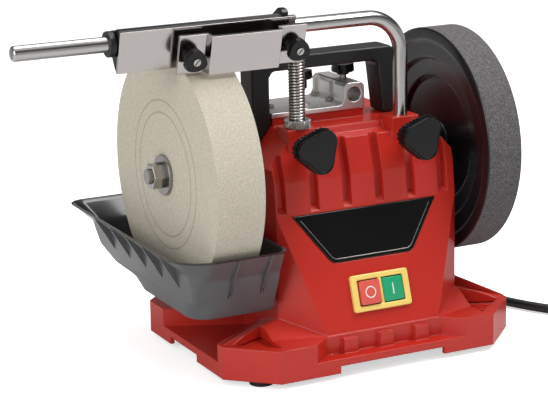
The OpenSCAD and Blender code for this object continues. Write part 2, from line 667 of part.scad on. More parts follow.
// ---- universal support ------------------------------------------------------------------------
module support_rod() {
  color([0.78, 0.79, 0.81]) {
    x_cyl(bar_left + 1.5, leg_r - bend_r, leg_y, bar_h, rod_r);
    translate([bar_left, leg_y, bar_h]) rotate([0, 90, 0]) cylinder(h = 1.5, r1 = rod_r - 1.5, r2 = rod_r);
    translate([leg_r - bend_r, leg_y, bar_h - bend_r]) rotate([90, 0, 0]) rotate_extrude(angle = 90)
      translate([bend_r, 0]) circle(r = rod_r);
    for (leg = [[leg_l, bar_h], [leg_r, bar_h - bend_r]])
      translate([leg[0], leg_y, boss_h - leg_depth]) cylinder(h = leg[1] - boss_h + leg_depth, r = rod_r);
  }
}
module height_nut() {
  teeth = 48;
  color([0.72, 0.73, 0.75]) translate([leg_l, leg_y, boss_h + 0.3]) difference() {
    linear_extrude(nut_h) polygon([for (i = [0 : 2 * teeth - 1]) let (r = nut_d / 2 - (i % 2) * 0.7,
      a = i * 180 / teeth) [r * cos(a), r * sin(a)]]);
    translate([0, 0, -1]) cylinder(h = nut_h + 2, r = rod_r + leg_run);
  }
}

// ---- clamp knobs ------------------------------------------------------------------------------
// a rounded-triangle knob along Z: hub from 0 to hub_t, head above it, a blind hole for its stud
module knob(d, t, hub_r, hub_t, n) {
  difference() {
    union() {
      cylinder(h = hub_t, r = hub_r);
      translate([0, 0, hub_t]) linear_extrude(t * 0.55) polygon(knob_pts(d / 2, n, 1));
      translate([0, 0, hub_t]) linear_extrude(t) polygon(knob_pts(d / 2 - 0.5, n, 0));
    }
    translate([0, 0, -1]) cylinder(h = hub_t + t * 0.6 + 1, r = 3.02);
  }
}
module leg_knob(x) {
  color([0.05, 0.05, 0.05]) translate([x, knob_y, clamp_h]) rotate([90, 0, 0]) rotate([0, 0, 180])
    knob(knob_d, knob_t, 8, 10, 72);
}
module leg_stud(x) {
  color([0.75, 0.76, 0.78]) y_cyl(knob_y - 14, leg_y - rod_r - 0.3, x, clamp_h, 3);
}
module leg_knob_left() {
  leg_knob(leg_l);
}
module leg_knob_right() {
  leg_knob(leg_r);
}
module leg_stud_left() {
  leg_stud(leg_l);
}
module leg_stud_right() {
  leg_stud(leg_r);
}
module sleeve_knob() {
  color([0.05, 0.05, 0.05]) translate([sleeve_x, clamp_y, ped_h + 26]) knob(21, 7, 5, 2, 36);
}
module sleeve_stud() {
  color([0.75, 0.76, 0.78]) translate([sleeve_x, clamp_y, sleeve_h + 6.6])
    cylinder(h = ped_h + 31 - sleeve_h - 6.6, r = 3);
}
module lock_knob() {
  color([0.05, 0.05, 0.05]) translate([lock_x, lock_y, ped_h + 20]) knob(21, 7, 5, 8, 36);
}
module lock_stud() {
  color([0.75, 0.76, 0.78]) translate([lock_x, lock_y, ped_h + 0.4]) cylinder(h = 29, r = 3);
}

// ---- straight-edge jig ------------------------------------------------------------------------
plate_z = 12;
jaw_z = 17;
module jig_bush() {
  color([0.12, 0.12, 0.12]) on_jig() difference() {
    union() {
      translate([jig_left - 8, 0, 0]) rotate([0, 90, 0]) cylinder(h = 5, r = 10);
      translate([jig_left - 3.2, 0, 0]) rotate([0, 90, 0]) cylinder(h = jig_l, r = 8);
      translate([jig_right - 4.6, 0, 0]) rotate([0, 90, 0]) cylinder(h = 3.4, r = 8.4);
    }
    translate([jig_left - 10, 0, 0]) rotate([0, 90, 0]) cylinder(h = jig_l + 20, r = rod_r + run);
  }
}
module jig_body() {
  body_pts = [[plate_v0, plate_z - 3.1], [plate_v1, plate_z - 3.1], [plate_v1, 4], [11, 0], [8, -7],
    [0, -10.5], [-8, -8],
    [-12, 0], [plate_v0 + 2, 6]];
  stop_pts = [[8, plate_z - 3.1], [plate_v1 + 2, plate_z - 3.1], [plate_v1 + 4, 6], [plate_v1 + 3, 0],
    [10, -6], [8, -7]];
  color([0.05, 0.05, 0.05]) on_jig() difference() {
    translate([jig_left - 2.6, 0, 0]) rotate([90, 0, 90]) union() {
      linear_extrude(jig_l - 2.8) polygon(body_pts);
      translate([0, 0, jig_l - 8.8]) linear_extrude(6) polygon(stop_pts);
    }
    translate([jig_left - 10, 0, 0]) rotate([0, 90, 0]) cylinder(h = jig_l + 20, r = 8.05);
    for (x = [-1, 1]) translate([jig_mid + x * jig_knob_pitch / 2, knob_v, 7.4]) cylinder(h = 40, r = 3.05);
  }
}
plate_v0 = 14 - jig_h;
plate_v1 = 14;
knob_v = -7;
module jig_base_plate() {
  color([0.80, 0.81, 0.82]) on_jig() difference() {
    translate([jig_left - 2.6, plate_v0, plate_z - 3]) cube([jig_l + 2.6, jig_h, 3]);
    for (x = [-1, 1]) translate([jig_mid + x * jig_knob_pitch / 2, knob_v, 0]) cylinder(h = 40, r = 3.05);
  }
}
module jig_jaw() {
  m = jig_mid;
  color([0.80, 0.81, 0.82]) on_jig() difference() {
    translate([0, plate_v0 - 2, 0]) rotate([-90, 0, 0]) mirror([0, 1, 0]) linear_extrude(jig_h - 2) polygon([
      [m - jaw_half, jaw_z], [m - 30, jaw_z], [m - 28, jaw_z + 6], [m + 28, jaw_z + 6], [m + 30, jaw_z],
        [m + jaw_half, jaw_z],
      [m + jaw_half, jaw_z + 3], [m + 32, jaw_z + 3], [m + 30, jaw_z + 9], [m - 30, jaw_z + 9],
        [m - 32, jaw_z + 3],
      [m - jaw_half, jaw_z + 3]]);
    for (x = [-1, 1]) translate([m + x * jig_knob_pitch / 2, knob_v, 0]) cylinder(h = 40, r = 3.05);
  }
}
module jig_studs() {
  color([0.75, 0.76, 0.78]) on_jig() for (x = [-1, 1]) translate([jig_mid + x * jig_knob_pitch / 2, knob_v,
    7.6]) cylinder(h = 25, r = 3);
}
module jig_knob(s) {
  color([0.05, 0.05, 0.05]) on_jig() translate([jig_mid + s * jig_knob_pitch / 2, knob_v, jaw_z + 3.3])
    rotate([0, 0, 95]) difference() {
    union() {
      cylinder(h = 6, r = 6);
      translate([0, 0, 6]) linear_extrude(3.5) polygon(knob_pts(10, 48, 0.6));
      translate([0, 0, 6]) linear_extrude(5.5) polygon(knob_pts(9.7, 48, 0));
    }
    translate([0, 0, -1]) cylinder(h = 20, r = 3.05);
  }
}
module jig_knob_left() {
  jig_knob(-1);
}
module jig_knob_right() {
  jig_knob(1);
}

// ---- water tray -------------------------------------------------------------------------------
tray_rim = tray_floor + 54;
tray_knee = tray_floor + 34;
tray_bend = tray_floor + 39;
tray_back = sy + stone_d / 2 + 33;
tray_x1 = tower_l - 7;
tray_x0 = stone_out - 5;
// front wall at height z, c outside the stone's circle
function tray_y(c, z) = sy - sqrt(pow(stone_d / 2 + c, 2) - pow(sz - z, 2));
tray_front = tray_y(23, tray_floor - tray_wall);
knee_y = tray_y(4.3, tray_knee);
function tray_side(t) = [[tray_front, tray_floor - tray_wall], [tray_back - 92, tray_floor - tray_wall],
  [tray_back - 76, tray_floor + 8], [tray_back - 35, tray_floor + 9.5], [tray_back - 7, tray_floor + 19],
  [tray_back, tray_floor + 36], [tray_back + (t - tray_floor - 36) * 0.72, t],
    [knee_y - (t - tray_knee) * 0.8, t],
  [knee_y, tray_knee]];
function tray_end(t) = [[tray_x0, tray_floor - tray_wall], [tray_x1, tray_floor - tray_wall], [tray_x1, t],
  [tray_x0 - 9 - (t - tray_bend) * 1.06, t], [tray_x0 - 9, tray_bend]];
module tray_form(w, t) {
  intersection() {
    swept_x(tray_x0 - 40, tray_x1 + 10, inset(tray_side(t), w));
    swept_y(-120, 170, inset(tray_end(t), w));
  }
}
// recess at the front corner of the tray, w deeper for its inner side
module tray_notch(w) {
  translate([tray_x0 + 2, tray_front + 3, 0]) rotate([0, 0, -48])
    box(-60, 60, -60, w, tray_floor - 10, tray_floor + 14 + w);
}
module tray_rib(x) {
  tip = tray_floor + 16;
  tip_y = tray_front + (knee_y - tray_front) * (tip - tray_floor + tray_wall)
    / (tray_knee - tray_floor + tray_wall);
  swept_x(x - 1, x + 1, [[tip_y - 0.2, tip], [tip_y + 1, tip + 1], [knee_y + 1, tray_knee + 1],
    [knee_y - 14, tray_rim - 1.5],
    [knee_y - 15.2, tray_rim - 1.5]]);
}
module tray_side_rib(y) {
  swept_y(y - 1, y + 1, [[tray_x0 - 4, tray_floor + 20], [tray_x0 - 23, tray_rim - 1.5],
    [tray_x0 - 21, tray_rim - 1.5],
    [tray_x0 - 8, tray_bend], [tray_x0 - 3, tray_floor + 22]]);
}
module water_tray() {
  color([0.30, 0.29, 0.29]) difference() {
    union() {
      difference() {
        tray_form(0, tray_rim);
        tray_notch(0);
      }
      for (x = [tray_x0 + 26, tray_x0 + 54]) tray_rib(x);
      for (i = [0 : 4]) tray_side_rib(-50 + 33.5 * i);
      for (y = rail_at) box(tray_x1 - 1, tower_l - 0.4, y - 9, y + 9, tray_floor + 8, tray_rim);
    }
    difference() {
      tray_form(tray_wall, tray_rim + 8);
      tray_notch(tray_wall);
    }
    for (y = rail_at) {
      box(tower_l - 3, tower_l, y - 3.3, y + 3.3, tray_floor, tray_floor + 60);
      box(tower_l - 4.8, tower_l - 1.7, y - 6.3, y + 6.3, tray_floor, tray_floor + 60);
    }
  }
}

// ---- mains lead -------------------------------------------------------------------------------
// a smooth curve through the route's points, n steps between each pair
function curve_at(a, b, c, d, t) = 0.5 * (2 * b + (c - a) * t + (2 * a - 5 * b + 4 * c - d)
  * t * t + (3 * b - a - 3 * c + d) * t * t * t);
function smooth(p, n) = let (m = len(p)) concat([for (i = [0 : m - 2], j = [0 : n - 1])
  curve_at(p[max(i - 1, 0)], p[i], p[i + 1], p[min(i + 2, m - 1)], j / n)], [p[m - 1]]);
function unit(v) = v / norm(v);
module tube(p, r, sides) {
  n = len(p);
  rings = [for (i = [0 : n - 1]) let (t = unit(p[min(i + 1, n - 1)] - p[max(i - 1, 0)]),
    s = unit(cross(t, [0, 0, 1])), u = cross(s, t))
    for (k = [0 : sides - 1]) p[i] + r * (cos(360 * k / sides) * s + sin(360 * k / sides) * u)];
  polyhedron(rings, concat([[for (k = [sides - 1 : -1 : 0]) k]],
    [for (i = [0 : n - 2], k = [0 : sides - 1])
      [i * sides + k, i * sides + (k + 1) % sides, (i + 1) * sides + (k + 1) % sides, (i + 1) * sides + k]],
    [[for (k = [0 : sides - 1]) (n - 1) * sides + k]]), convexity = 8);
}
module mains_lead() {
  color([0.03, 0.03, 0.03]) tube(smooth(cord_route, 2), cord_d / 2, 10);
}
module lead_tail() {
  color([0.03, 0.03, 0.03]) tube(smooth(tail_route, 2), cord_d / 2, 10);
}
module lead_coil() {
  color([0.03, 0.03, 0.03]) translate([coil_at[0], coil_at[1], 0]) rotate_extrude($fn = 96)
    translate([coil_r, coil_z])
    polygon([[-coil_w, 0], [coil_w, 0], [coil_w, cord_d], [coil_w - cord_d / 2, coil_t],
      [cord_d / 2 - coil_w, coil_t], [-coil_w, cord_d]]);
}
module cord_guard() {
  color([0.04, 0.04, 0.04]) difference() {
    union() {
      translate([cord_exit[0], back_y + 28, cord_exit[1]]) rotate([90, 0, 0])
        cylinder(h = 27, r1 = cord_d / 2 + 1.1, r2 = cord_d / 2 + 3.5);
      y_cyl(back_y + 0.3, back_y + 2, cord_exit[0], cord_exit[1], cord_d / 2 + 4.5);
      y_cyl(back_y - 6, back_y + 1, cord_exit[0], cord_exit[1], cord_d / 2 + 1.5);
    }
    y_cyl(back_y - 8, back_y + 40, cord_exit[0], cord_exit[1], cord_d / 2 + 0.1);
  }
}
module lead_tie() {
  color([0.1, 0.1, 0.1]) translate([coil_at[0], coil_at[1], 0]) rotate([0, 0, 200])
    translate([coil_r, 0, 0]) difference() {
    box(-coil_w - 1.4, coil_w + 1, -4, 4, coil_z - 0.7, coil_z + coil_t + 0.8);
    box(-coil_w - 0.6, coil_w + 0.2, -5, 5, coil_z - 0.1, coil_z + coil_t + 0.2);
  }
}
module plug() {
  color([0.04, 0.04, 0.04]) translate([317, 34, 19.5]) rotate([-90, 0, 0]) difference() {
    union() {
      cylinder(h = 26, r1 = 6, r2 = 13);
      translate([0, 0, 25]) cylinder(h = 15, r = 18.5);
    }
    translate([0, 0, -1]) cylinder(h = 9, r = cord_d / 2 + 0.1);
  }
}
module plug_pins() {
  color([0.75, 0.74, 0.7]) for (x = [-9.5, 9.5]) y_cyl(74, 93, 317 + x, 19.5, 2.4);
}

housing();
bottom_cover();
rubber_feet();
badge_plate();
switch_frame();
switch_body();
stop_button();
start_button();
bearing_left();
bearing_right();
main_shaft();
grinding_stone();
stone_bush();
stone_flange();
stone_washer();
stone_nut();
honing_disc();
honing_band();
honing_nut();
worm_wheel();
worm();
worm_bush();
motor_shaft();
motor_stator();
motor_windings();
motor_lower_shield();
motor_upper_shield();
motor_rotor();
cooling_fan();
capacitor();
bracket();
bracket_screws();
carry_handle();
support_rod();
height_nut();
leg_knob_left();
leg_stud_left();
leg_knob_right();
leg_stud_right();
sleeve_knob();
sleeve_stud();
lock_knob();
lock_stud();
jig_bush();
jig_body();
jig_base_plate();
jig_jaw();
jig_studs();
jig_knob_left();
jig_knob_right();
water_tray();
mains_lead();
lead_coil();
lead_tail();
cord_guard();
lead_tie();
plug();
plug_pins();
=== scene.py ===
# %% [markdown]
# # A wet grinding sharpener
# A slow stone turns in a tray of water, and a honing wheel turns on the other end of the same shaft. The solids come
# from CAD with their real sizes, so this lesson only adds what a camera sees: rounded edges, a cut thread, moulded
# ribs and teeth, and the finish of each material. Everything is in metres and in the frame of the CAD model.

# %% Load the CAD frame
import json
import math

import bmesh
import bpy
import numpy as np
from mathutils import Matrix, Vector

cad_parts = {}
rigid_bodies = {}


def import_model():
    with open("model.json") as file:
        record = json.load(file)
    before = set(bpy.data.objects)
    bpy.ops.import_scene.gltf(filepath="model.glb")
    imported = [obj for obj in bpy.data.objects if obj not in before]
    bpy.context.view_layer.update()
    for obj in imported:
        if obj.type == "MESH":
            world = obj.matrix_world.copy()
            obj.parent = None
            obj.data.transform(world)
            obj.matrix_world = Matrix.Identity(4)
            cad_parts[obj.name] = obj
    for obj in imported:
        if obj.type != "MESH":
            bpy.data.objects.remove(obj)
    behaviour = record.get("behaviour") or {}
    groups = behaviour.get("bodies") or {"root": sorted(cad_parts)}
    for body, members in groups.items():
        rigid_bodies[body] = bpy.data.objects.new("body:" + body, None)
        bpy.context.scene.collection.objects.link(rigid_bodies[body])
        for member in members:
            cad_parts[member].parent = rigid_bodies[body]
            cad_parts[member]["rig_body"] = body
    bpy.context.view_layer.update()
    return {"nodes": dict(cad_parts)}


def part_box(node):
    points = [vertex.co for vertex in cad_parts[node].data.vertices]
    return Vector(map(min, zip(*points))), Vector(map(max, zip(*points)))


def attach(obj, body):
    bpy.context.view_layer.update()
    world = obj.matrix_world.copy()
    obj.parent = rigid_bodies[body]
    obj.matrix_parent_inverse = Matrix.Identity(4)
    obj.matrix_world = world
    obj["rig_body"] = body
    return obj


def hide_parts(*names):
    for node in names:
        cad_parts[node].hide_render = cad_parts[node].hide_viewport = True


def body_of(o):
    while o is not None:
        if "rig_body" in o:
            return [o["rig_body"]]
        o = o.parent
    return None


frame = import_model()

# %% [markdown]
# ## Units and the driving sizes
# The drawing of such a machine is in millimetres, so places are written in millimetres and turned into metres in one
# step. The sizes that repeat here are the ones that the shaft line, the support and the jig hang from.

# %% Sizes of the machine
MM = 0.001
shaft_y, shaft_z = -5.0, 160.0  # the shaft line, which runs along X
hone_inner = 98.0  # where the honing layer begins on the shaft line
leg_x, leg_y, bar_z = 47.5, -42.0, 275.9  # the support's legs, left and right of the middle, and its bar
rod_radius = 6.0
clamp_z = 180.5  # height of the clamp knobs on the legs
jig_lean = math.radians(16)  # how far the jig's face looks down
panel_lean = math.atan(31 / 96)  # the front panel runs back 31 for every 96 that it rises

# %% [markdown]
# ## The camera
# A long lens from far away keeps the machine's proportions, where a wide one close by would swell the near wheel.
# The camera stands to the left of the operator and looks slightly down. Building its axes from yaw, pitch and roll
# keeps the three angles readable, where a single matrix of numbers would hide them.

# %% Camera
camera_at = np.array([-743.2, -1394.5, 523.8])
yaw, pitch, roll = (math.radians(v) for v in (26.47, 14.46, -1.21))
lens_mm, sensor_mm = 127.9, 36.0
nearest_m, farthest_m = 0.05, 20


def camera_axes():
    """Columns of the camera: right, up and back, from yaw about Z, pitch down and roll about the line of sight."""
    forward = np.array([math.sin(yaw) * math.cos(pitch), math.cos(yaw) * math.cos(pitch), -math.sin(pitch)])
    level = np.array([math.cos(yaw), -math.sin(yaw), 0])
    above = np.cross(level, forward)
    right = math.cos(roll) * level + math.sin(roll) * above
    up = -math.sin(roll) * level + math.cos(roll) * above
    return np.column_stack([right, up, -forward])


camera = bpy.data.objects.new("camera", bpy.data.cameras.new("camera"))
camera.data.lens, camera.data.sensor_width = lens_mm, sensor_mm
camera.data.clip_start, camera.data.clip_end = nearest_m, farthest_m
pose = Matrix(camera_axes().tolist()).to_4x4()
pose.translation = Vector(camera_at * MM)
camera.matrix_world = pose
bpy.context.scene.collection.objects.link(camera)
bpy.context.scene.camera = camera
print("camera distance in mm:", round(float(np.linalg.norm(camera_at))))

# %% [markdown]
# ## Surfaces as functions
# Every new piece is a surface over two parameters: u runs along the piece and v runs round it. The arrays hold the
# whole surface at once, and one helper turns the grid into a mesh. The grid closes on itself in v. Its two ends are
# filled with one face each, or meet and are welded, and either way the result is a closed solid.

# %% Grid and piece helpers
def grid_mesh(name, points, caps=True):
    """Mesh of a grid: points[i, j] joins points[i + 1, j] and points[i, j + 1]; caps fill the first and last ring."""
    points = np.asarray(points, float)
    n, m = points.shape[:2]
    i, j = np.meshgrid(np.arange(n - 1), np.arange(m), indexing="ij")
    k = (j + 1) % m
    quads = np.stack([i * m + j, i * m + k, (i + 1) * m + k, (i + 1) * m + j], -1).reshape(-1, 4)
    faces = quads.tolist()
    if caps:
        faces += [list(range(m))[::-1], list(range((n - 1) * m, n * m))]
    mesh = bpy.data.meshes.new(name)
    mesh.from_pydata((points.reshape(-1, 3) * MM).tolist(), [], faces)
    mesh.update()
    return mesh


def face_outwards(mesh):
    """Makes every face of a closed mesh look outwards."""
    work = bmesh.new()
    work.from_mesh(mesh)
    bmesh.ops.recalc_face_normals(work, faces=work.faces)
    work.to_mesh(mesh)
    work.free()


def welded(mesh):
    """Merges the rows that close a surface on itself."""
    work = bmesh.new()
    work.from_mesh(mesh)
    bmesh.ops.remove_doubles(work, verts=work.verts, dist=0.001 * MM)
    work.to_mesh(mesh)
    work.free()
    return mesh


def joined(name, meshes):
    """One mesh that holds several, with their faces kept apart."""
    work = bmesh.new()
    for mesh in meshes:
        work.from_mesh(mesh)
    out = bpy.data.meshes.new(name)
    work.to_mesh(out)
    work.free()
    return out


def place(name, mesh, material, body, stands_for=(), smooth_deg=60):
    """Adds a finished mesh as a piece that rides on a body and may stand for CAD nodes."""
    face_outwards(mesh)
    mesh.shade_smooth()
    mesh.set_sharp_from_angle(angle=math.radians(smooth_deg))
    piece = bpy.data.objects.new(name, mesh)
    bpy.context.scene.collection.objects.link(piece)
    mesh.materials.clear()
    mesh.materials.append(material)
    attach(piece, body)
    if stands_for:
        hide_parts(*stands_for)
    return piece


def smooth_path(points, steps):
    """Cubic B-spline led by points: each place on it is a weighted mean of four neighbours, so it has no kink."""
    p = np.asarray(points, float)
    padded = np.vstack([p[:1], p, p[-1:]])
    t = np.arange(steps)[:, None] / steps
    a, b, c, d = (padded[k : len(p) - 1 + k, None, :] for k in range(4))
    curve = ((1 - t) ** 3 * a + (3 * t**3 - 6 * t**2 + 4) * b + (1 + 3 * t + 3 * t**2 - 3 * t**3) * c + t**3 * d) / 6
    return np.vstack([p[:1], curve.reshape(-1, 3)[1:], p[-1:]])


def tube_points(path, radius, sides=16):
    """Rings of a tube: path plus radius times (cos v, sin v) in the plane across the path."""
    path = np.asarray(path, float)
    along = np.gradient(path, axis=0)
    along /= np.linalg.norm(along, axis=1)[:, None]
    side = np.cross(along, [0, 0, 1.0])
    side /= np.maximum(np.linalg.norm(side, axis=1)[:, None], 1e-9)
    over = np.cross(side, along)
    v = np.arange(sides) * 2 * np.pi / sides
    radius = np.broadcast_to(np.asarray(radius, float), (len(path),))
    ring = np.cos(v)[None, :, None] * side[:, None] + np.sin(v)[None, :, None] * over[:, None]
    return path[:, None] + radius[:, None, None] * ring


def box_of(node):
    """Lowest and highest corner of a CAD node, in mm."""
    return tuple(np.array(corner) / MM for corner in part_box(node))


def eased(node, material, width_mm, angle_deg=32):
    """A copy of a CAD solid with rounded edges: corners merged, flat faces made whole, then a bevel."""
    cad = frame["nodes"][node]
    mesh = cad.data.copy()
    work = bmesh.new()
    work.from_mesh(mesh)
    bmesh.ops.remove_doubles(work, verts=work.verts, dist=0.004 * MM)
    bmesh.ops.dissolve_limit(work, angle_limit=math.radians(0.5), verts=work.verts, edges=work.edges)
    work.to_mesh(mesh)
    work.free()
    piece = place(node + "_eased", mesh, material, body_of(cad)[0], [node], smooth_deg=angle_deg)
    bevel = piece.modifiers.new("rounded_edges", "BEVEL")
    bevel.width, bevel.segments, bevel.harden_normals = width_mm * MM, 2, True
    bevel.use_clamp_overlap = False
    bevel.limit_method, bevel.angle_limit = "ANGLE", math.radians(angle_deg)
    return piece


print("helpers ready")

# %% [markdown]
# ## Colour and material helpers
# Paint charts and screens give colours in sRGB, and the renderer works in linear light, so one function converts
# them. One more function adds any shader node, sets its properties and fills or links its sockets. That is all the
# materials need, and each one then reads as a short list of what the real surface has.

# %% Colour and node helpers
def linear(hex_colour):
    """sRGB hex to linear: divide by 12.92 near black, else the 2.4 power curve."""
    c = np.array([int(hex_colour[i : i + 2], 16) for i in (1, 3, 5)]) / 255
    c = np.where(c <= 0.04045, c / 12.92, ((c + 0.055) / 1.055) ** 2.4)
    return (*c.tolist(), 1.0)


def add(material, kind, sockets=None, **settings):
    """Adds a node of that kind; sockets maps an input's name or number to a value or to another node's output."""
    made = material.node_tree.nodes.new("ShaderNode" + kind)
    for key, value in settings.items():
        setattr(made, key, value)
    for key, value in (sockets or {}).items():
        if isinstance(value, bpy.types.NodeSocket):
            material.node_tree.links.new(value, made.inputs[key])
        else:
            made.inputs[key].default_value = value
    return made


def base(name, hex_colour, roughness, metallic=0.0, ior=1.5):
    """A material with one Principled shader: colour, roughness, metallic and IOR."""
    material = bpy.data.materials.new(name)
    material.use_nodes = True
    shader = material.node_tree.nodes["Principled BSDF"]
    shader.inputs["Base Color"].default_value = linear(hex_colour)
    shader.inputs["Roughness"].default_value = roughness
    shader.inputs["Metallic"].default_value = metallic
    shader.inputs["IOR"].default_value = ior
    material.diffuse_color = linear(hex_colour)
    return material, shader


def join(material, output, shader, socket):
    """Links one output to a socket of the shader."""
    material.node_tree.links.new(output, shader.inputs[socket])


def place_of(material):
    """The Object coordinate output, in metres."""
    return add(material, "TexCoord").outputs["Object"]


def two_tone(material, shader, factor, dark, light, low, high):
    """Colour that runs from dark to light as factor runs from low to high."""
    ramp = add(material, "ValToRGB", {0: factor})
    ramp.color_ramp.elements[0].position, ramp.color_ramp.elements[1].position = low, high
    ramp.color_ramp.elements[0].color, ramp.color_ramp.elements[1].color = linear(dark), linear(light)
    join(material, ramp.outputs[0], shader, "Base Color")
    return ramp


def relief(material, shader, height, depth_mm, edge_mm=0.0):
    """Bump of depth_mm from a height between 0 and 1; edge_mm rounds the look of the edges by that radius."""
    bump = add(material, "Bump", {"Height": height, "Distance": depth_mm * MM})
    if edge_mm:
        rounded = add(material, "Bevel", {"Radius": edge_mm * MM}, samples=6)
        material.node_tree.links.new(rounded.outputs[0], bump.inputs["Normal"])
    join(material, bump.outputs[0], shader, "Normal")


def spread(material, shader, factor, low, high):
    """Roughness that runs from low to high with factor."""
    span = add(material, "MapRange", {0: factor, 3: low, 4: high})
    join(material, span.outputs[0], shader, "Roughness")


def axis_distance(material, across, through_mm):
    """Distance from an axis: across is 1 in the two directions across it, and through_mm is a place on it."""
    flat = add(material, "VectorMath", {0: place_of(material), 1: across}, operation="MULTIPLY")
    back = tuple(-v * MM for v in through_mm)
    offset = add(material, "VectorMath", {0: flat.outputs[0], 1: back}, operation="ADD")
    return add(material, "VectorMath", {0: offset.outputs[0]}, operation="LENGTH").outputs[1]


print("colour check:", [round(v, 3) for v in linear("#808080")])

# %% [markdown]
# ## Moulded plastics
# The housing is injection-moulded ABS: smooth, a little wavy where the wall shrank, with a soft wide highlight. The
# knobs and handle are glass-filled nylon with a spark-eroded grain of about half a millimetre. The tray is glossy
# polypropylene. Noise on Object coordinates gives each its unevenness; the grain's real size sets the scale.

# %% Plastics
def moulded(name, hex_colour, roughness, grain_mm, depth_mm, spread_by=0.06, wave_mm=60, edge_mm=0.0, ior=1.46):
    """Moulded plastic: fine grain for the bump, and a slow wave that shifts roughness."""
    material, shader = base(name, hex_colour, roughness, ior=ior)
    where = place_of(material)
    grain = add(material, "TexNoise", {"Vector": where, "Scale": 1 / (grain_mm * MM), "Detail": 2.0,
                                       "Roughness": 0.5})
    wave = add(material, "TexNoise", {"Vector": where, "Scale": 1 / (wave_mm * MM), "Detail": 3.0})
    spread(material, shader, wave.outputs[0], roughness - spread_by, roughness + spread_by)
    relief(material, shader, grain.outputs[0], depth_mm, edge_mm)
    return material


red_abs = moulded("moulded_red_abs", "#B5271B", 0.30, 0.7, 0.010, edge_mm=1.6)
black_nylon = moulded("grained_black_nylon", "#141416", 0.46, 0.6, 0.03)
knob_black = moulded("moulded_black_knob", "#0B0B0C", 0.26, 0.8, 0.02, ior=1.37)
tray_pp = moulded("glossy_grey_polypropylene", "#505052", 0.30, 1.5, 0.008, spread_by=0.04)
# a darker copy of the tray's plastic: painted shade for the inside of the tray
tray_shaded_inside = moulded("wet_dark_polypropylene", "#242426", 0.16, 1.5, 0.006, spread_by=0.04)
disc_black = moulded("moulded_black_disc", "#101012", 0.28, 0.9, 0.015)
yellow_pc = moulded("moulded_yellow_frame", "#E6C86C", 0.34, 0.9, 0.008)
stop_red = moulded("red_button_plastic", "#D2574C", 0.30, 0.9, 0.006)
start_green = moulded("green_button_plastic", "#1E9A6B", 0.30, 0.9, 0.006)
switch_black = moulded("switch_black_plastic", "#131313", 0.4, 0.7, 0.01)
badge_black = moulded("glossy_black_badge", "#0B0B0C", 0.16, 1.2, 0.004)
rubber = moulded("moulded_rubber", "#141414", 0.72, 0.5, 0.03)
cord_pvc = moulded("black_cord_pvc", "#121213", 0.42, 0.6, 0.01)
white_nylon = moulded("white_nylon", "#D9D8D2", 0.45, 0.7, 0.01)
print("plastics ready")

# %% [markdown]
# ## Metals
# The rod and the plates are ground steel with a bright finish, the bracket is die-cast aluminium with a fine skin,
# and the fasteners are zinc plated. Ground metal keeps fine lines along the direction of grinding, so its noise is
# stretched by a Mapping node: long along the rod, and a fraction of a millimetre across it.

# %% Metals
def ground_metal(name, hex_colour, roughness, line_mm, stretch, depth_mm=0.004, spread_by=0.05):
    """Bright metal with grinding lines: noise scaled small across the lines and long along them."""
    material, shader = base(name, hex_colour, roughness, metallic=1.0)
    drawn = add(material, "Mapping", {"Vector": place_of(material), "Scale": stretch})
    lines = add(material, "TexNoise", {"Vector": drawn.outputs[0], "Scale": 1 / (line_mm * MM), "Detail": 3.0})
    spread(material, shader, lines.outputs[0], roughness - spread_by, roughness + spread_by)
    relief(material, shader, lines.outputs[0], depth_mm)
    return material


bright_rod = ground_metal("ground_bright_steel", "#B4B2B0", 0.20, 1.0, (0.06, 1, 0.06))
plate_steel = ground_metal("polished_plate_steel", "#B4AFAD", 0.16, 1.0, (0.05, 1, 1))
turned_steel = ground_metal("turned_steel", "#9C9994", 0.28, 0.8, (1, 1, 1))
zinc = ground_metal("zinc_plated_steel", "#AEACA8", 0.24, 0.9, (1, 1, 1))
die_cast = ground_metal("die_cast_aluminium", "#DAD8D6", 0.42, 1.2, (1, 1, 1), depth_mm=0.02)
bronze = ground_metal("cast_bronze", "#B48A3C", 0.34, 1.0, (1, 1, 1))
copper = ground_metal("enamelled_copper", "#A4562A", 0.3, 0.5, (1, 1, 0.2), depth_mm=0.05)
lamination = ground_metal("stacked_lamination", "#77787C", 0.42, 0.6, (0.02, 0.02, 1), depth_mm=0.03)
grey_paint = moulded("grey_painted_sheet", "#5A5C5F", 0.45, 1.0, 0.01)
print("metals ready")

# %% [markdown]
# ## Abrasives
# The stone is bonded aluminium oxide: pale grains with darker pores between them, about a third of a millimetre
# across, drawn at a millimetre or more so that they show. The honing layer is a dark compound with lighter flecks.

# %% Stone and honing layer
# darker rings on the stone's face: painted shade of the edge that the pressing tool left
ring_shade_tone, ring_half_mm, ring_strength = "#8F8877", 0.8, 0.6


def ring_shade(material, radius_mm, half_mm):
    """1 on a thin circle about the shaft line, where the pressing tool left an edge, and 0 elsewhere: where painted
    shade goes.
    """
    reach = axis_distance(material, (0, 1, 1), (0, shaft_y, shaft_z))
    return add(material, "Math", {0: reach, 1: radius_mm * MM, 2: half_mm * MM}, operation="COMPARE").outputs[0]


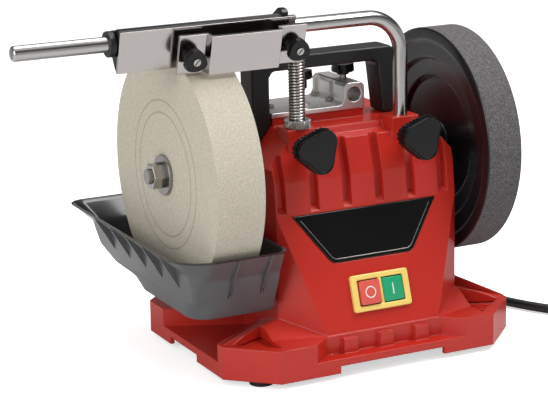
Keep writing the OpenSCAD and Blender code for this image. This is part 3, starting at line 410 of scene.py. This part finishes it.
def grit(name, dark, light, grain_mm, pore_mm, depth_mm, roughness, low, high, rings=()):
    """Bonded grain: a noise for the tone, and cells for the pores, both in the relief."""
    material, shader = base(name, light, roughness)
    where = place_of(material)
    tone = add(material, "TexNoise", {"Vector": where, "Scale": 1 / (grain_mm * MM), "Detail": 5.0,
                                      "Roughness": 0.65})
    pores = add(material, "TexVoronoi", {"Vector": where, "Scale": 1 / (pore_mm * MM)})
    mixed = add(material, "MixRGB", {0: 0.35, 1: tone.outputs[0], 2: pores.outputs["Distance"]})
    tone = two_tone(material, shader, mixed.outputs[0], dark, light, low, high).outputs[0]
    # each ring mixes painted shade into the tone
    for radius_mm in rings:
        mark = ring_shade(material, radius_mm, ring_half_mm)
        factor = add(material, "Math", {0: mark, 1: ring_strength}, operation="MULTIPLY")
        tone = add(material, "MixRGB", {0: factor.outputs[0], 1: tone, 2: linear(ring_shade_tone)}).outputs[0]
        join(material, tone, shader, "Base Color")
    relief(material, shader, mixed.outputs[0], depth_mm)
    return material


stone_grit = grit("bonded_aluminium_oxide", "#A59E8F", "#C7C0AF", 1.5, 0.8, 0.12, 0.9, 0.3, 0.7, rings=(50, 60))
honing_grit = grit("honing_compound", "#2B292B", "#6B6768", 1.8, 1.2, 0.3, 0.85, 0.3, 0.7)
print("abrasives ready")

# %% [markdown]
# ## The mains lead
# The lead leaves the tapered guard at the back, falls to the bench, runs round the right side and is wound into a
# neat coil with its plug beside it. It is an 8 mm PVC lead: stiff enough that no bend is tighter than four diameters.
# The loose part is a listed route; the coil is a loop of formula: the radius shrinks by one diameter per turn on
# the bench, and grows again on top.

# %% Route of the lead
cord_d = 8.0
coil_x, coil_y, coil_low = 262.0, -40.0, 4.8
coil_in, coil_out, coil_start, turns_up = 32.0, 52.0, math.radians(255), 1.8
coil_points, tube_sides = 120, 14
lead_route = [(66, 100, 48), (66, 112, 47), (71, 128, 37), (84, 142, 20), (104, 143, 7.5), (124, 128, 4.8),
              (139, 102, 4.8), (149, 72, 4.8), (157, 42, 4.8), (165, 12, 4.8), (175, -16, 4.8), (188, -42, 4.8),
              (205, -66, 4.8), (226, -84, 4.8)]
tail_route = [(307, -20, 13), (309, -6, 14.2), (312, 8, 17), (315, 22, 19), (317, 34, 19.5)]


def coil_path():
    """Turns of the coil: the radius falls by one diameter a turn on the bench, then rises again one layer up."""
    turns_down = (coil_out - coil_in) / cord_d
    turn = np.linspace(0, turns_down + turns_up, coil_points)
    radius = coil_in + cord_d * np.abs(turn - turns_down)
    lift = np.clip((turn - turns_down + 0.15) / 0.3, 0, 1)
    height = coil_low + cord_d * lift**2 * (3 - 2 * lift)
    angle = coil_start + turn * 2 * np.pi
    return np.column_stack([coil_x + radius * np.cos(angle), coil_y + radius * np.sin(angle), height])


coil = coil_path()
lead_path = smooth_path(np.vstack([lead_route, coil, tail_route]), 3)
steps = np.linalg.norm(np.diff(lead_path, axis=0), axis=1)
lead_path = lead_path[np.concatenate([[True], steps > 0.5])]  # points less than half a millimetre apart are dropped

# %% Lead
tube = grid_mesh("mains_lead_tube", tube_points(lead_path, cord_d / 2, tube_sides))
lead = place("mains_lead_tube", tube, cord_pvc, "body", ["mains_lead", "lead_coil", "lead_tail"])
print("lead faces:", len(lead.data.polygons))

# %% [markdown]
# ## Finishes for the CAD solids
# Solids whose CAD shape is already right keep it, and take their finish by name. The shaft, the worm drive and the
# motor are inside the housing, and they get the finish that they would show with the bottom cover off.

# %% Materials by node
finish_of = {
    "housing": red_abs, "bottom_cover": grey_paint, "rubber_feet": rubber, "badge_plate": badge_black,
    "switch_frame": yellow_pc, "switch_body": switch_black, "stop_button": stop_red, "start_button": start_green,
    "bearing_left": turned_steel, "bearing_right": turned_steel, "main_shaft": turned_steel,
    "grinding_stone": stone_grit, "stone_bush": white_nylon, "stone_flange": turned_steel,
    "stone_washer": turned_steel, "stone_nut": zinc, "honing_disc": disc_black, "honing_band": honing_grit,
    "honing_nut": zinc,
    "worm_wheel": bronze, "worm": turned_steel, "worm_bush": bronze, "motor_shaft": turned_steel,
    "motor_stator": lamination, "motor_windings": copper, "motor_lower_shield": die_cast,
    "motor_upper_shield": die_cast, "motor_rotor": lamination, "cooling_fan": black_nylon,
    "capacitor": white_nylon, "bracket": die_cast, "bracket_screws": zinc, "carry_handle": black_nylon,
    "support_rod": bright_rod, "height_nut": bright_rod, "leg_knob_left": knob_black, "leg_knob_right": knob_black,
    "leg_stud_left": zinc, "leg_stud_right": zinc, "sleeve_knob": knob_black, "sleeve_stud": zinc,
    "lock_knob": knob_black, "lock_stud": zinc, "jig_bush": black_nylon, "jig_body": knob_black,
    "jig_base_plate": plate_steel, "jig_jaw": plate_steel, "jig_studs": zinc, "jig_knob_left": knob_black,
    "jig_knob_right": knob_black, "water_tray": tray_pp, "mains_lead": cord_pvc, "lead_coil": cord_pvc,
    "lead_tail": cord_pvc, "cord_guard": rubber, "lead_tie": black_nylon, "plug": black_nylon, "plug_pins": zinc,
}
for node, material in finish_of.items():
    mesh = frame["nodes"][node].data
    mesh.materials.clear()
    mesh.materials.append(material)
print("finished nodes:", len(finish_of), "of", len(frame["nodes"]))

# %% [markdown]
# ## Rounded edges
# No moulded or cast part has a sharp edge: the tool that cut its mould had a radius, and that radius is what catches
# the light as a thin bright line. Each of these solids is copied and its edges are rounded by a bevel of its own
# width: two millimetres on the handle, a few tenths on sheet metal, where a stamped edge is only deburred. The
# housing has too many small ledges for that, so its red material rounds the look of its edges instead.

# %% Bevels by node
edge_mm = {
    "carry_handle": 2.5, "bracket": 0.9, "badge_plate": 0.6, "stone_washer": 0.5, "stone_nut": 0.6,
    "honing_nut": 0.6, "sleeve_knob": 0.4, "lock_knob": 0.4, "jig_body": 0.9, "jig_base_plate": 0.3,
    "jig_jaw": 0.3, "jig_bush": 0.5, "jig_knob_left": 0.3, "jig_knob_right": 0.3, "plug": 2.0,
    "cord_guard": 0.6, "support_rod": 0.8, "rubber_feet": 1.0, "height_nut": 0.3,
}
for node, width_mm in edge_mm.items():
    eased(node, finish_of[node], width_mm)
print("rounded solids:", len(edge_mm))

# %% [markdown]
# ## The water tray
# The tray is one moulding of polypropylene. Its outline at any height is a rectangle with four rounded corners, and
# the corners open out towards the rim, because a mould needs draft and because water spills over a sharp corner.
# Stacking such outlines from the floor to the rim, over the lip and down again inside gives the whole shell at once.

# %% Tray shell
tray_floor, tray_wall, tray_x0, tray_x1 = 56.0, 2.4, -153.0, -84.0
front_foot, front_knee, front_rim, back_edge = -66.7, -82.3, -98.3, 128.0
# each wall's heights above the inner floor, and where the wall stands, or how far it leans out, at each of them
left_wall = ((-tray_wall, 39, 54), (0, -9, -24.9))
front_wall = ((-tray_wall, 34, 54), (front_foot, front_knee, front_rim))
back_wall = ((-tray_wall, 8, 9.5, 19, 36, 54), (-92, -76, -35, -7, 0, 13))
floor_radii, opening_radii = np.array([2.5, 3, 5, 4.5]), np.array([9, 6, 9, 27])
knee_radii = np.array([0, 0, 0, 14])


def rounded_outline(x0, x1, y0, y1, radii, per_corner=9):
    """Rectangle with corner radii in the order front right, back right, back left, front left."""
    corners = ((x1, y0, -90), (x1, y1, 0), (x0, y1, 90), (x0, y0, 180))
    ring = []
    for (x, y, start), r in zip(corners, radii):
        a = np.radians(start + np.linspace(0, 90, per_corner))
        cx = x - r if x == x1 else x + r
        cy = y + r if y == y0 else y - r
        ring.append(np.column_stack([cx + r * np.cos(a), cy + r * np.sin(a)]))
    return np.vstack(ring)


def tray_ring(h, inward, out=0.0):
    """Outline of the tray at h above the inner floor, moved inwards by inward and outwards by out, in mm."""
    left = tray_x0 + np.interp(h, *left_wall)
    front = np.interp(h, *front_wall)
    back = back_edge + np.interp(h, *back_wall)
    open_by = np.clip((h - 30) / 24, 0, 1)  # the corners open over the last 24 mm
    foot = 1 - np.clip(h - 13.5, 0, 1)  # the front left corner is cut back below this height
    radii = floor_radii + knee_radii * foot + opening_radii * open_by
    move = inward - out
    flat = rounded_outline(left + move, tray_x1 - move, front + move, back - move, np.maximum(radii - move, 1.0))
    return np.column_stack([flat, np.full(len(flat), tray_floor + h)])


outer_heights = (-2.4, -1.9, -0.9, 3, 8, 9.5, 13.4, 14.6, 19, 26, 32, 34, 36, 39, 42, 45, 48, 51, 52.4)
inner_heights = (53.4, 51, 48, 45, 42, 39, 36, 34, 32, 26, 19, 14.6, 13.4, 11, 9.6, 3, 0.6)
rounded_foot = {-2.4: 1.5, -1.9: 0.5}
rings = [tray_ring(h, rounded_foot.get(h, 0)) for h in outer_heights]
rings += [tray_ring(52.6, 0, 0.9), tray_ring(53.6, 0, 0.9), tray_ring(54, 0, 0.5), tray_ring(54, tray_wall - 0.6)]
rings += [tray_ring(h, tray_wall) for h in inner_heights] + [tray_ring(0, tray_wall + 1)]
print("tray rings:", len(rings))

# %% [markdown]
# ## Ribs and hooks of the tray
# Thin ribs stiffen the sloping walls, and two hooks hang the tray on the rails of the tower. Each is a flat outline
# swept a short way along one axis. The shell, ribs and hooks come out of one mould, so they are one piece. The inside
# lies in shade, and that shade is painted: its faces take a second, darker copy of the plastic, those from the lip's
# inner edge down, and the floor.

# %% Ribs, hooks and the painted shade inside
def prism(name, outline, axis, low, high):
    """A flat outline given in the two axes that follow axis in the order x, y, z, swept from low to high."""
    outline = np.asarray(outline, float)
    ends = []
    for value in (low, high):
        columns = [outline[:, 0], outline[:, 1]]
        columns.insert(axis, np.full(len(outline), value))
        ends.append(np.column_stack(columns))
    return grid_mesh(name, ends)


rib_half, rib_top = 1, 108.5
front_rib = [(-75, 72), (front_knee, 91), (-97, rib_top), (-98, rib_top), (-74.2, 72)]
side_rib = [(-156, 78), (-161, 95), (-174, rib_top), (-176.5, rib_top), (-157.5, 77)]
parts = [grid_mesh("shell", rings)]
for x in (tray_x0 + 26, tray_x0 + 54):
    parts.append(prism("front_rib", front_rib, 0, x - rib_half, x + rib_half))
for y in (-50 + 33.5 * i for i in range(5)):
    parts.append(prism("side_rib", side_rib, 1, y - rib_half, y + rib_half))
for y in (-14, 30):
    hook = [(-85, y - 9), (-77.4, y - 9), (-77.4, y - 3.3), (-78.7, y - 3.3), (-78.7, y - 6.3), (-81.8, y - 6.3),
            (-81.8, y + 6.3), (-78.7, y + 6.3), (-78.7, y + 3.3), (-77.4, y + 3.3), (-77.4, y + 9), (-85, y + 9)]
    parts.append(prism("hook", hook, 2, tray_floor + 8, tray_floor + 54))
tray = place("tray_moulding", joined("tray_moulding", parts), tray_pp, "tray", ["water_tray"], smooth_deg=28)
around, walls = len(rings[0]), (len(rings) - 1) * len(rings[0])
inside = np.zeros(len(tray.data.polygons), int)
inside[(len(outer_heights) - 1) * around : walls] = 1
inside[walls + 1] = 1  # after the walls come the two caps: the underside, then the inner floor
# the inner faces and the inner floor take the darker copy, painted shade inside the tray
tray.data.materials.append(tray_shaded_inside)
tray.data.polygons.foreach_set("material_index", inside)
print("tray faces:", len(tray.data.polygons), "box:", [b.round().tolist() for b in box_of("water_tray")])

# %% [markdown]
# ## The honing wheel
# The disc is a moulding that was turned true, so it is one profile spun about the shaft line. It is dished towards
# the tower in two steps, and its lip hides the side of the honing layer. The profile's corners are rounded first by
# short parabolas, because the soft ring of light on the black face comes from those roundings.

# %% Disc turned from a profile
def rounded_profile(points, radius, steps=4):
    """Each corner becomes the parabola (1-t)^2 a + 2 t (1-t) p + t^2 b, with a and b at most radius away from p."""
    p = np.asarray(points, float)
    back, ahead = np.roll(p, 1, 0) - p, np.roll(p, -1, 0) - p
    long_back, long_ahead = np.linalg.norm(back, axis=1), np.linalg.norm(ahead, axis=1)
    reach = np.minimum(radius, 0.45 * np.minimum(long_back, long_ahead))[:, None]
    a, b = p + back / long_back[:, None] * reach, p + ahead / long_ahead[:, None] * reach
    t = np.linspace(0, 1, steps)[None, :, None]
    return ((1 - t) ** 2 * a[:, None] + 2 * t * (1 - t) * p[:, None] + t**2 * b[:, None]).reshape(-1, 2)


def turned(name, profile, from_x, sides=128):
    """A closed profile of (radius, distance along X) spun about the shaft line."""
    a = np.linspace(0, 2 * np.pi, sides + 1)[:, None]
    r, x = profile[:, 0][None], profile[:, 1][None]
    rings = np.stack([from_x + x + 0 * a, shaft_y + r * np.cos(a), shaft_z + r * np.sin(a)], -1)
    return welded(grid_mesh(name, rings, caps=False))


shaft_hole, corner_radius = 6.1, 1.6
disc_edge = [(shaft_hole, -4), (14, -4), (14, 9), (52, 9), (54, 6), (68, 5), (70, 1.5), (83, 1.5), (84.5, -0.4),
             (86, -1.1), (93.4, -1.1), (94.7, -0.05), (87.9, -0.05), (87.9, 30), (83, 30), (81, 6), (71, 6),
             (69, 9.5), (55, 10.5), (53, 13.5), (14, 13.5), (14, 16), (shaft_hole, 16)]
disc = turned("honing_disc_turned", rounded_profile(disc_edge, corner_radius), hone_inner)
place("honing_disc_turned", disc, disc_black, "wheels", ["honing_disc"], smooth_deg=50)
print("disc profile points:", len(disc_edge))

# %% [markdown]
# ## The threaded leg
# The left leg is threaded so that a knurled nut on it sets the height. A thread is a circle whose radius rises and
# falls once per pitch along the axis, and whose phase turns with the angle: that single formula is the helix. The
# real pitch is nearer 1.5 mm; it is drawn at 2.4 mm so that it shows. Its colour is painted shade and light: it
# follows the distance from the leg's own axis, dark in the roots and pale on the crests.

# %% Thread on the left leg
thread_crest, thread_depth, thread_pitch = rod_radius + 0.85, 0.8, 2.4


def thread_points(x_mm, y_mm, low_mm, high_mm, sides=48, per_pitch=8):
    """r(z, a) = crest - depth |2 frac(z / pitch - a / 2 pi) - 1|, on rings of a cylinder along Z."""
    z = np.arange(low_mm, high_mm, thread_pitch / per_pitch)[:, None]
    a = np.arange(sides)[None, :] * 2 * np.pi / sides
    r = thread_crest - thread_depth * np.abs(2 * ((z / thread_pitch - a / (2 * np.pi)) % 1) - 1)
    return np.stack([x_mm + r * np.cos(a), y_mm + r * np.sin(a), z + 0 * a], -1)


rolled_thread, shader = base("rolled_thread_steel", "#B4B2B0", 0.26, metallic=1.0)
reach = axis_distance(rolled_thread, (1, 1, 0), (-leg_x, leg_y, 0))
root_m, top_m = (thread_crest - 0.75) * MM, (thread_crest - 0.05) * MM
# painted shade in the thread's roots and a painted highlight on its crests
height = add(rolled_thread, "MapRange", {0: reach, 1: root_m, 2: top_m}).outputs[0]
two_tone(rolled_thread, shader, height, "#4C4B4A", "#D2D0CD", 0.1, 0.8)

thread_low, thread_high = box_of("height_nut")[1][2] - 1, bar_z - 22
thread = grid_mesh("leg_thread", thread_points(-leg_x, leg_y, thread_low, thread_high))
place("leg_thread", thread, rolled_thread, "support")
print("thread from", round(thread_low), "to", round(thread_high), "mm")

# %% [markdown]
# ## Clamp knobs on the legs
# A clamp knob is moulded with three lobes for the fingers and a row of small teeth behind its face. The outline is
# the smooth least of three straight sides: powers of the cosines are summed, so a larger power gives sharper corners.
# The rings start at the back of the round hub, step out to the toothed band, and end on the dished face.

# %% Three-sided knobs with teeth
def three_sided(a, corner_mm, at_rad, power=1.7):
    """r(a) = corner 2^(1/p) / 2 / (sum of max(cos(a - side), 0)^p)^(1/p), for three sides 120 degrees apart."""
    sides = at_rad + np.pi / 3 + np.arange(3) * 2 * np.pi / 3
    reach = np.maximum(np.cos(a[:, None] - sides), 0) ** power
    return corner_mm * 2 ** (1 / power) / 2 / reach.sum(1) ** (1 / power)


def knob_points(node, x_mm, z_mm, corner_mm, turned_deg=50, hub_mm=8, neck_mm=10, teeth=30, columns=240):
    """Each ring is a circle or the three-sided outline, changed by some millimetres, with teeth of some height."""
    low, high = box_of(node)
    face = high[1] - low[1]
    band = neck_mm + 0.55 * (face - neck_mm)
    rings = [  # depth, 1 where round, change of radius, height of the teeth
        (0, 1, -0.8, 0), (0.8, 1, 0, 0), (neck_mm, 1, 0, 0), (neck_mm, 0, -1.6, 0), (neck_mm + 0.5, 0, -0.5, 1.0),
        (band, 0, -0.5, 1.0), (band, 0, -0.7, 0), (face - 1.0, 0, -0.7, 0), (face - 0.3, 0, -0.9, 0),
        (face, 0, -1.5, 0), (face - 0.1, 0, -1.9, 0), (face - 0.6, 0, -2.6, 0), (face - 0.6, 0, -7.0, 0)]
    depth, is_round, change, height = np.array(rings).T[:, :, None]
    a = np.arange(columns) * 2 * np.pi / columns
    tooth = 0.5 + 0.5 * np.cos(teeth * a)
    r = np.where(is_round, hub_mm, three_sided(a, corner_mm, math.radians(turned_deg))) + change + height * tooth
    return np.stack([x_mm + r * np.cos(a), high[1] - depth + 0 * a, z_mm + r * np.sin(a)], -1)


knob_corner = 19.7
for side, x_mm in (("left", -leg_x), ("right", leg_x)):
    node = "leg_knob_" + side
    lobed = grid_mesh(node + "_moulding", knob_points(node, x_mm, clamp_z, knob_corner))
    place(node + "_moulding", lobed, knob_black, "clamp_" + side, [node], smooth_deg=35)
print("two clamp knobs moulded")

# %% [markdown]
# ## Drawing on the sloping panel
# The switch and the badge lie on the front panel, which leans back. What is on it is drawn flat, as distances across
# and up, and one function carries it onto the front plane of the part that it belongs to.

# %% Panel helpers
def panel_plane(node):
    """Centre of the front face of a part on the panel, its half width, half height, and the axes up and out."""
    out = np.array([0, -math.cos(panel_lean), math.sin(panel_lean)])
    up = np.array([0, math.sin(panel_lean), math.cos(panel_lean)])
    points = np.array([v.co for v in frame["nodes"][node].data.vertices]) / MM
    front = points[points @ out > (points @ out).max() - 0.1]
    u, v = front[:, 0], front @ up
    centre = np.array([(u.min() + u.max()) / 2, 0, 0]) + (v.min() + v.max()) / 2 * up + (front @ out).max() * out
    return centre, (u.max() - u.min()) / 2, (v.max() - v.min()) / 2, up, out


def raised(centre, up, out, u, v, lift):
    """Carries flat arrays u (across), v (up) and lift onto the panel."""
    across = np.array([1.0, 0, 0])
    return centre + u[..., None] * across + v[..., None] * up + lift[..., None] * out


def raised_line(centre, up, out, u, v, half_mm, lift_mm):
    """A bead of half-width half_mm and height lift_mm along the open line through u and v."""
    line = np.stack([u, v], -1).astype(float)
    along = np.gradient(line, axis=0)
    along /= np.linalg.norm(along, axis=1)[:, None]
    side = np.stack([-along[:, 1], along[:, 0]], -1)
    a = np.arange(12) * 2 * np.pi / 12
    flat = line[:, None] + half_mm * np.cos(a)[None, :, None] * side[:, None]
    return raised(centre, up, out, flat[..., 0], flat[..., 1], np.broadcast_to(lift_mm * np.sin(a), flat.shape[:2]))


def outline_rows(centre, up, out, rows):
    """Rings on the panel: each row is (half width, half height, corner radius, lift)."""
    rings = []
    for half_u, half_v, corner, lift in rows:
        flat = np.array(rounded_outline(-half_u, half_u, -half_v, half_v, [corner] * 4, per_corner=7))
        rings.append(raised(centre, up, out, flat[:, 0], flat[:, 1], np.full(len(flat), float(lift))))
    return np.array(rings)


def soft_block(name, centre, up, out, half_u, half_v, depth, corner=1.2):
    """A block on the panel with rounded corners and a rounded front edge."""
    edge = ((0, -depth), (0, -0.7), (0.2, -0.2), (0.7, 0))
    rows = [(half_u - inset, half_v - inset, corner, lift) for inset, lift in edge]
    return grid_mesh(name, outline_rows(centre, up, out, rows))


print("panel leans back by", round(math.degrees(panel_lean), 1), "degrees")

# %% [markdown]
# ## The switch
# The yellow frame is a shallow moulding that clips over the switch body. Its section is a closed line: up the outer
# wall, over the rounded front, down into the window and back under the lip. Carried round the frame's rounded
# rectangle, it gives the whole ring, and a rib divides the two windows. The stop button carries a raised ring and the
# start button a raised bar, the signs that every machine uses for off and on.

# %% Switch frame
centre, half_u, _, up, out = panel_plane("switch_frame")
half_v, window_u, window_v = 15, 20.9, 10.5
lip_u, lip_v, front_edge = 22.2, 12.6, 0.9
frame_rows = [(half_u, half_v, 2.5, -3), (half_u, half_v, 2.5, -0.8), (half_u - 0.3, half_v - 0.3, 2.4, -0.3),
              (half_u - front_edge, half_v - front_edge, 2.2, 0), (window_u + 0.7, window_v + 0.7, 1.5, 0),
              (window_u + 0.2, window_v + 0.2, 1.2, -0.3), (window_u, window_v, 1.0, -0.8),
              (window_u, window_v, 1.0, -1.5), (lip_u, lip_v, 1.0, -1.5), (lip_u, lip_v, 1.0, -3),
              (half_u, half_v, 2.5, -3)]
rim = welded(grid_mesh("switch_rim", outline_rows(centre, up, out, frame_rows), caps=False))
rib = soft_block("switch_rib", centre - 0.3 * out, up, out, 1.5, window_v + 0.4, 1.2, 0.4)
place("switch_moulding", joined("switch_moulding", [rim, rib]), yellow_pc, "body", ["switch_frame"], smooth_deg=20)
print("switch frame half size in mm:", round(half_u, 1), half_v)

# %% Buttons and their signs
turn = np.linspace(0, 2 * np.pi, 65)
ring_radius, bar_half, sign_half, sign_lift = 4.4, 4.6, 0.5, 0.25
buttons = {  # finish, move across, depth, name of the sign and its line
    "stop": (stop_red, -0.3, 9.5, "ring", (ring_radius * np.cos(turn), ring_radius * np.sin(turn))),
    "start": (start_green, 0.3, 7.7, "bar", (np.zeros(9), np.linspace(-bar_half, bar_half, 9))),
}
for body, (finish, across_mm, deep_mm, sign, line) in buttons.items():
    centre, _, _, up, out = panel_plane(body + "_button")
    centre = centre + across_mm * np.array([1.0, 0, 0])
    cap = soft_block(body + "_cap", centre, up, out, 9.2, 9.7, deep_mm)
    place(body + "_cap", cap, finish, body, [body + "_button"], smooth_deg=20)
    name = f"{body}_{sign}_sign"
    mark = grid_mesh(name, raised_line(centre, up, out, *line, sign_half, sign_lift))
    place(name, mark, white_nylon, body, smooth_deg=70)
print("buttons:", ", ".join(buttons))

# %% [markdown]
# ## The badge's line and the studs' slots
# The badge is bare but for a thin bright line that follows three of its edges, a little way in. The studs of the jig
# end in a screwdriver slot, drawn as a dark bead across the end face, a painted shade for the slot, because it is
# only half a millimetre deep.

# %% Inlaid line
centre, half_u, half_v, up, out = panel_plane("badge_plate")
corner_u, corner_v = np.array([-59.5, -36.2, -33, 33, 36.2, 59.5]), np.array([17, -16.2, -17.8, -17.8, -16.2, 17])
along = np.linspace(0, 5, 51)
u, v = np.interp(along, range(6), corner_u), np.interp(along, range(6), corner_v)
line_half, line_lift = 0.32, 0.12
inlay = raised_line(centre, up, out, u, v, line_half, line_lift)
place("badge_inlay", grid_mesh("badge_inlay", inlay), turned_steel, "body", smooth_deg=70)
print("badge half size in mm:", round(half_u, 1), round(half_v, 1))

# %% Screwdriver slots
slot_half, slot_lift, slot_reach = 0.5, 0.12, 2.6


def stud_slots():
    """One short flat dark bead, painted shade for the slot, across the end face of each stud, slanted by 3 across to
    4 up.
    """
    points = np.array([v.co for v in frame["nodes"]["jig_studs"].data.vertices]) / MM
    outward = np.array([0, -math.cos(jig_lean), -math.sin(jig_lean)])
    upward = np.array([0, -math.sin(jig_lean), math.cos(jig_lean)])
    middle = (points[:, 0].min() + points[:, 0].max()) / 2
    slots = []
    for side in (points[:, 0] < middle, points[:, 0] > middle):
        stud = points[side]
        face = stud[stud @ outward > (stud @ outward).max() - 0.1].mean(0)
        slant = np.linspace(-slot_reach, slot_reach, 5)
        bead = raised_line(face, upward, outward, slant * 0.6, slant * 0.8, slot_half, slot_lift)
        slots.append(grid_mesh("slot", bead))
    return joined("stud_slots", slots)


# the black beads are painted shade standing for the slots
place("stud_slots", stud_slots(), black_nylon, "jig", smooth_deg=70)
print("stud slots drawn")

# %% [markdown]
# ## Studio
# Three large soft boxes and a pale world light the machine: the key from the upper right, a weaker one from the left
# front and a faint one from above. The floor is pale and stays almost white to the camera, and it keeps the
# machine's shadow. Light Path tells a ray from the camera from one that carries light or a reflection.

# %% Floor
floor_reach_m = 8


def studio_floor():
    """A large plane: white with a glow of its own to the camera, and duller where it lights the machine."""
    material = bpy.data.materials.new("pale_studio_floor")
    material.use_nodes = True
    tree = material.node_tree
    tree.nodes.remove(tree.nodes["Principled BSDF"])
    path = add(material, "LightPath")
    dull = add(material, "BsdfDiffuse", {"Color": linear("#DCDCDC")})
    paint = add(material, "BsdfDiffuse", {"Color": linear("#F2F2F2")})
    glow = add(material, "Emission", {"Color": linear("#FFFFFF"), "Strength": 0.58})
    lit = add(material, "AddShader", {0: paint.outputs[0], 1: glow.outputs[0]})
    pick = add(material, "MixShader", {0: path.outputs["Is Camera Ray"], 1: dull.outputs[0], 2: lit.outputs[0]})
    tree.links.new(pick.outputs[0], tree.nodes["Material Output"].inputs[0])
    mesh = bpy.data.meshes.new("floor")
    corners = [(x * floor_reach_m, y * floor_reach_m, 0) for x, y in ((-1, -1), (1, -1), (1, 1), (-1, 1))]
    mesh.from_pydata(corners, [], [(0, 1, 2, 3)])
    floor = bpy.data.objects.new("floor", mesh)
    mesh.materials.append(material)
    bpy.context.scene.collection.objects.link(floor)


studio_floor()
print("floor of", 2 * floor_reach_m, "m")

# %% Soft boxes
def soft_box(name, at_mm, size_mm, watts, aim_mm=(0, 0, 120)):
    """Square area lamp at a place, turned to face the aim point."""
    lamp = bpy.data.objects.new(name, bpy.data.lights.new(name, "AREA"))
    lamp.data.shape, lamp.data.size, lamp.data.energy = "SQUARE", size_mm * MM, watts
    at, aim = Vector(at_mm) * MM, Vector(aim_mm) * MM
    lamp.rotation_mode = "QUATERNION"
    lamp.rotation_quaternion = (aim - at).to_track_quat("-Z", "Y")
    lamp.location = at
    bpy.context.scene.collection.objects.link(lamp)


soft_box("key_box", (650, -520, 1500), 800, 18.5)
soft_box("fill_box", (-1400, -700, 700), 1000, 14)
soft_box("top_box", (0, 200, 1500), 900, 8)
print("three soft boxes lit")

# %% World
matt_strength = 0.42
belt_stops = ((0.0, 0.3), (0.47, 0.62), (0.56, 0.55), (0.64, 0.08), (0.80, 0.12), (0.9, 0.8), (1.0, 0.9))


def studio_world():
    """White to the camera; dimmer to matt surfaces; to shiny ones a bright horizon, a dark belt and a pale top."""
    world = bpy.data.worlds.new("studio")
    bpy.context.scene.world = world
    world.use_nodes = True
    height = add(world, "SeparateXYZ", {0: add(world, "TexCoord").outputs["Generated"]}).outputs[2]
    belt = add(world, "ValToRGB", {0: add(world, "MapRange", {0: height, 1: -1.0}).outputs[0]})
    belt.color_ramp.elements[0].position, belt.color_ramp.elements[1].position = 0.0, 1.0
    for place_at, grey in belt_stops:
        stop = belt.color_ramp.elements.new(place_at)
        stop.color = (grey, grey, grey, 1)
    rays = add(world, "LightPath")
    shiny = add(world, "Mix", {0: rays.outputs["Is Glossy Ray"], 2: matt_strength, 3: belt.outputs[0]})
    strength = add(world, "Mix", {0: rays.outputs["Is Camera Ray"], 2: shiny.outputs[0], 3: 1.0})
    sky = world.node_tree.nodes["Background"]
    sky.inputs["Color"].default_value = linear("#FFFFFF")
    world.node_tree.links.new(strength.outputs[0], sky.inputs["Strength"])


studio_world()
bpy.context.scene.view_settings.view_transform = "Standard"
print("studio ready")
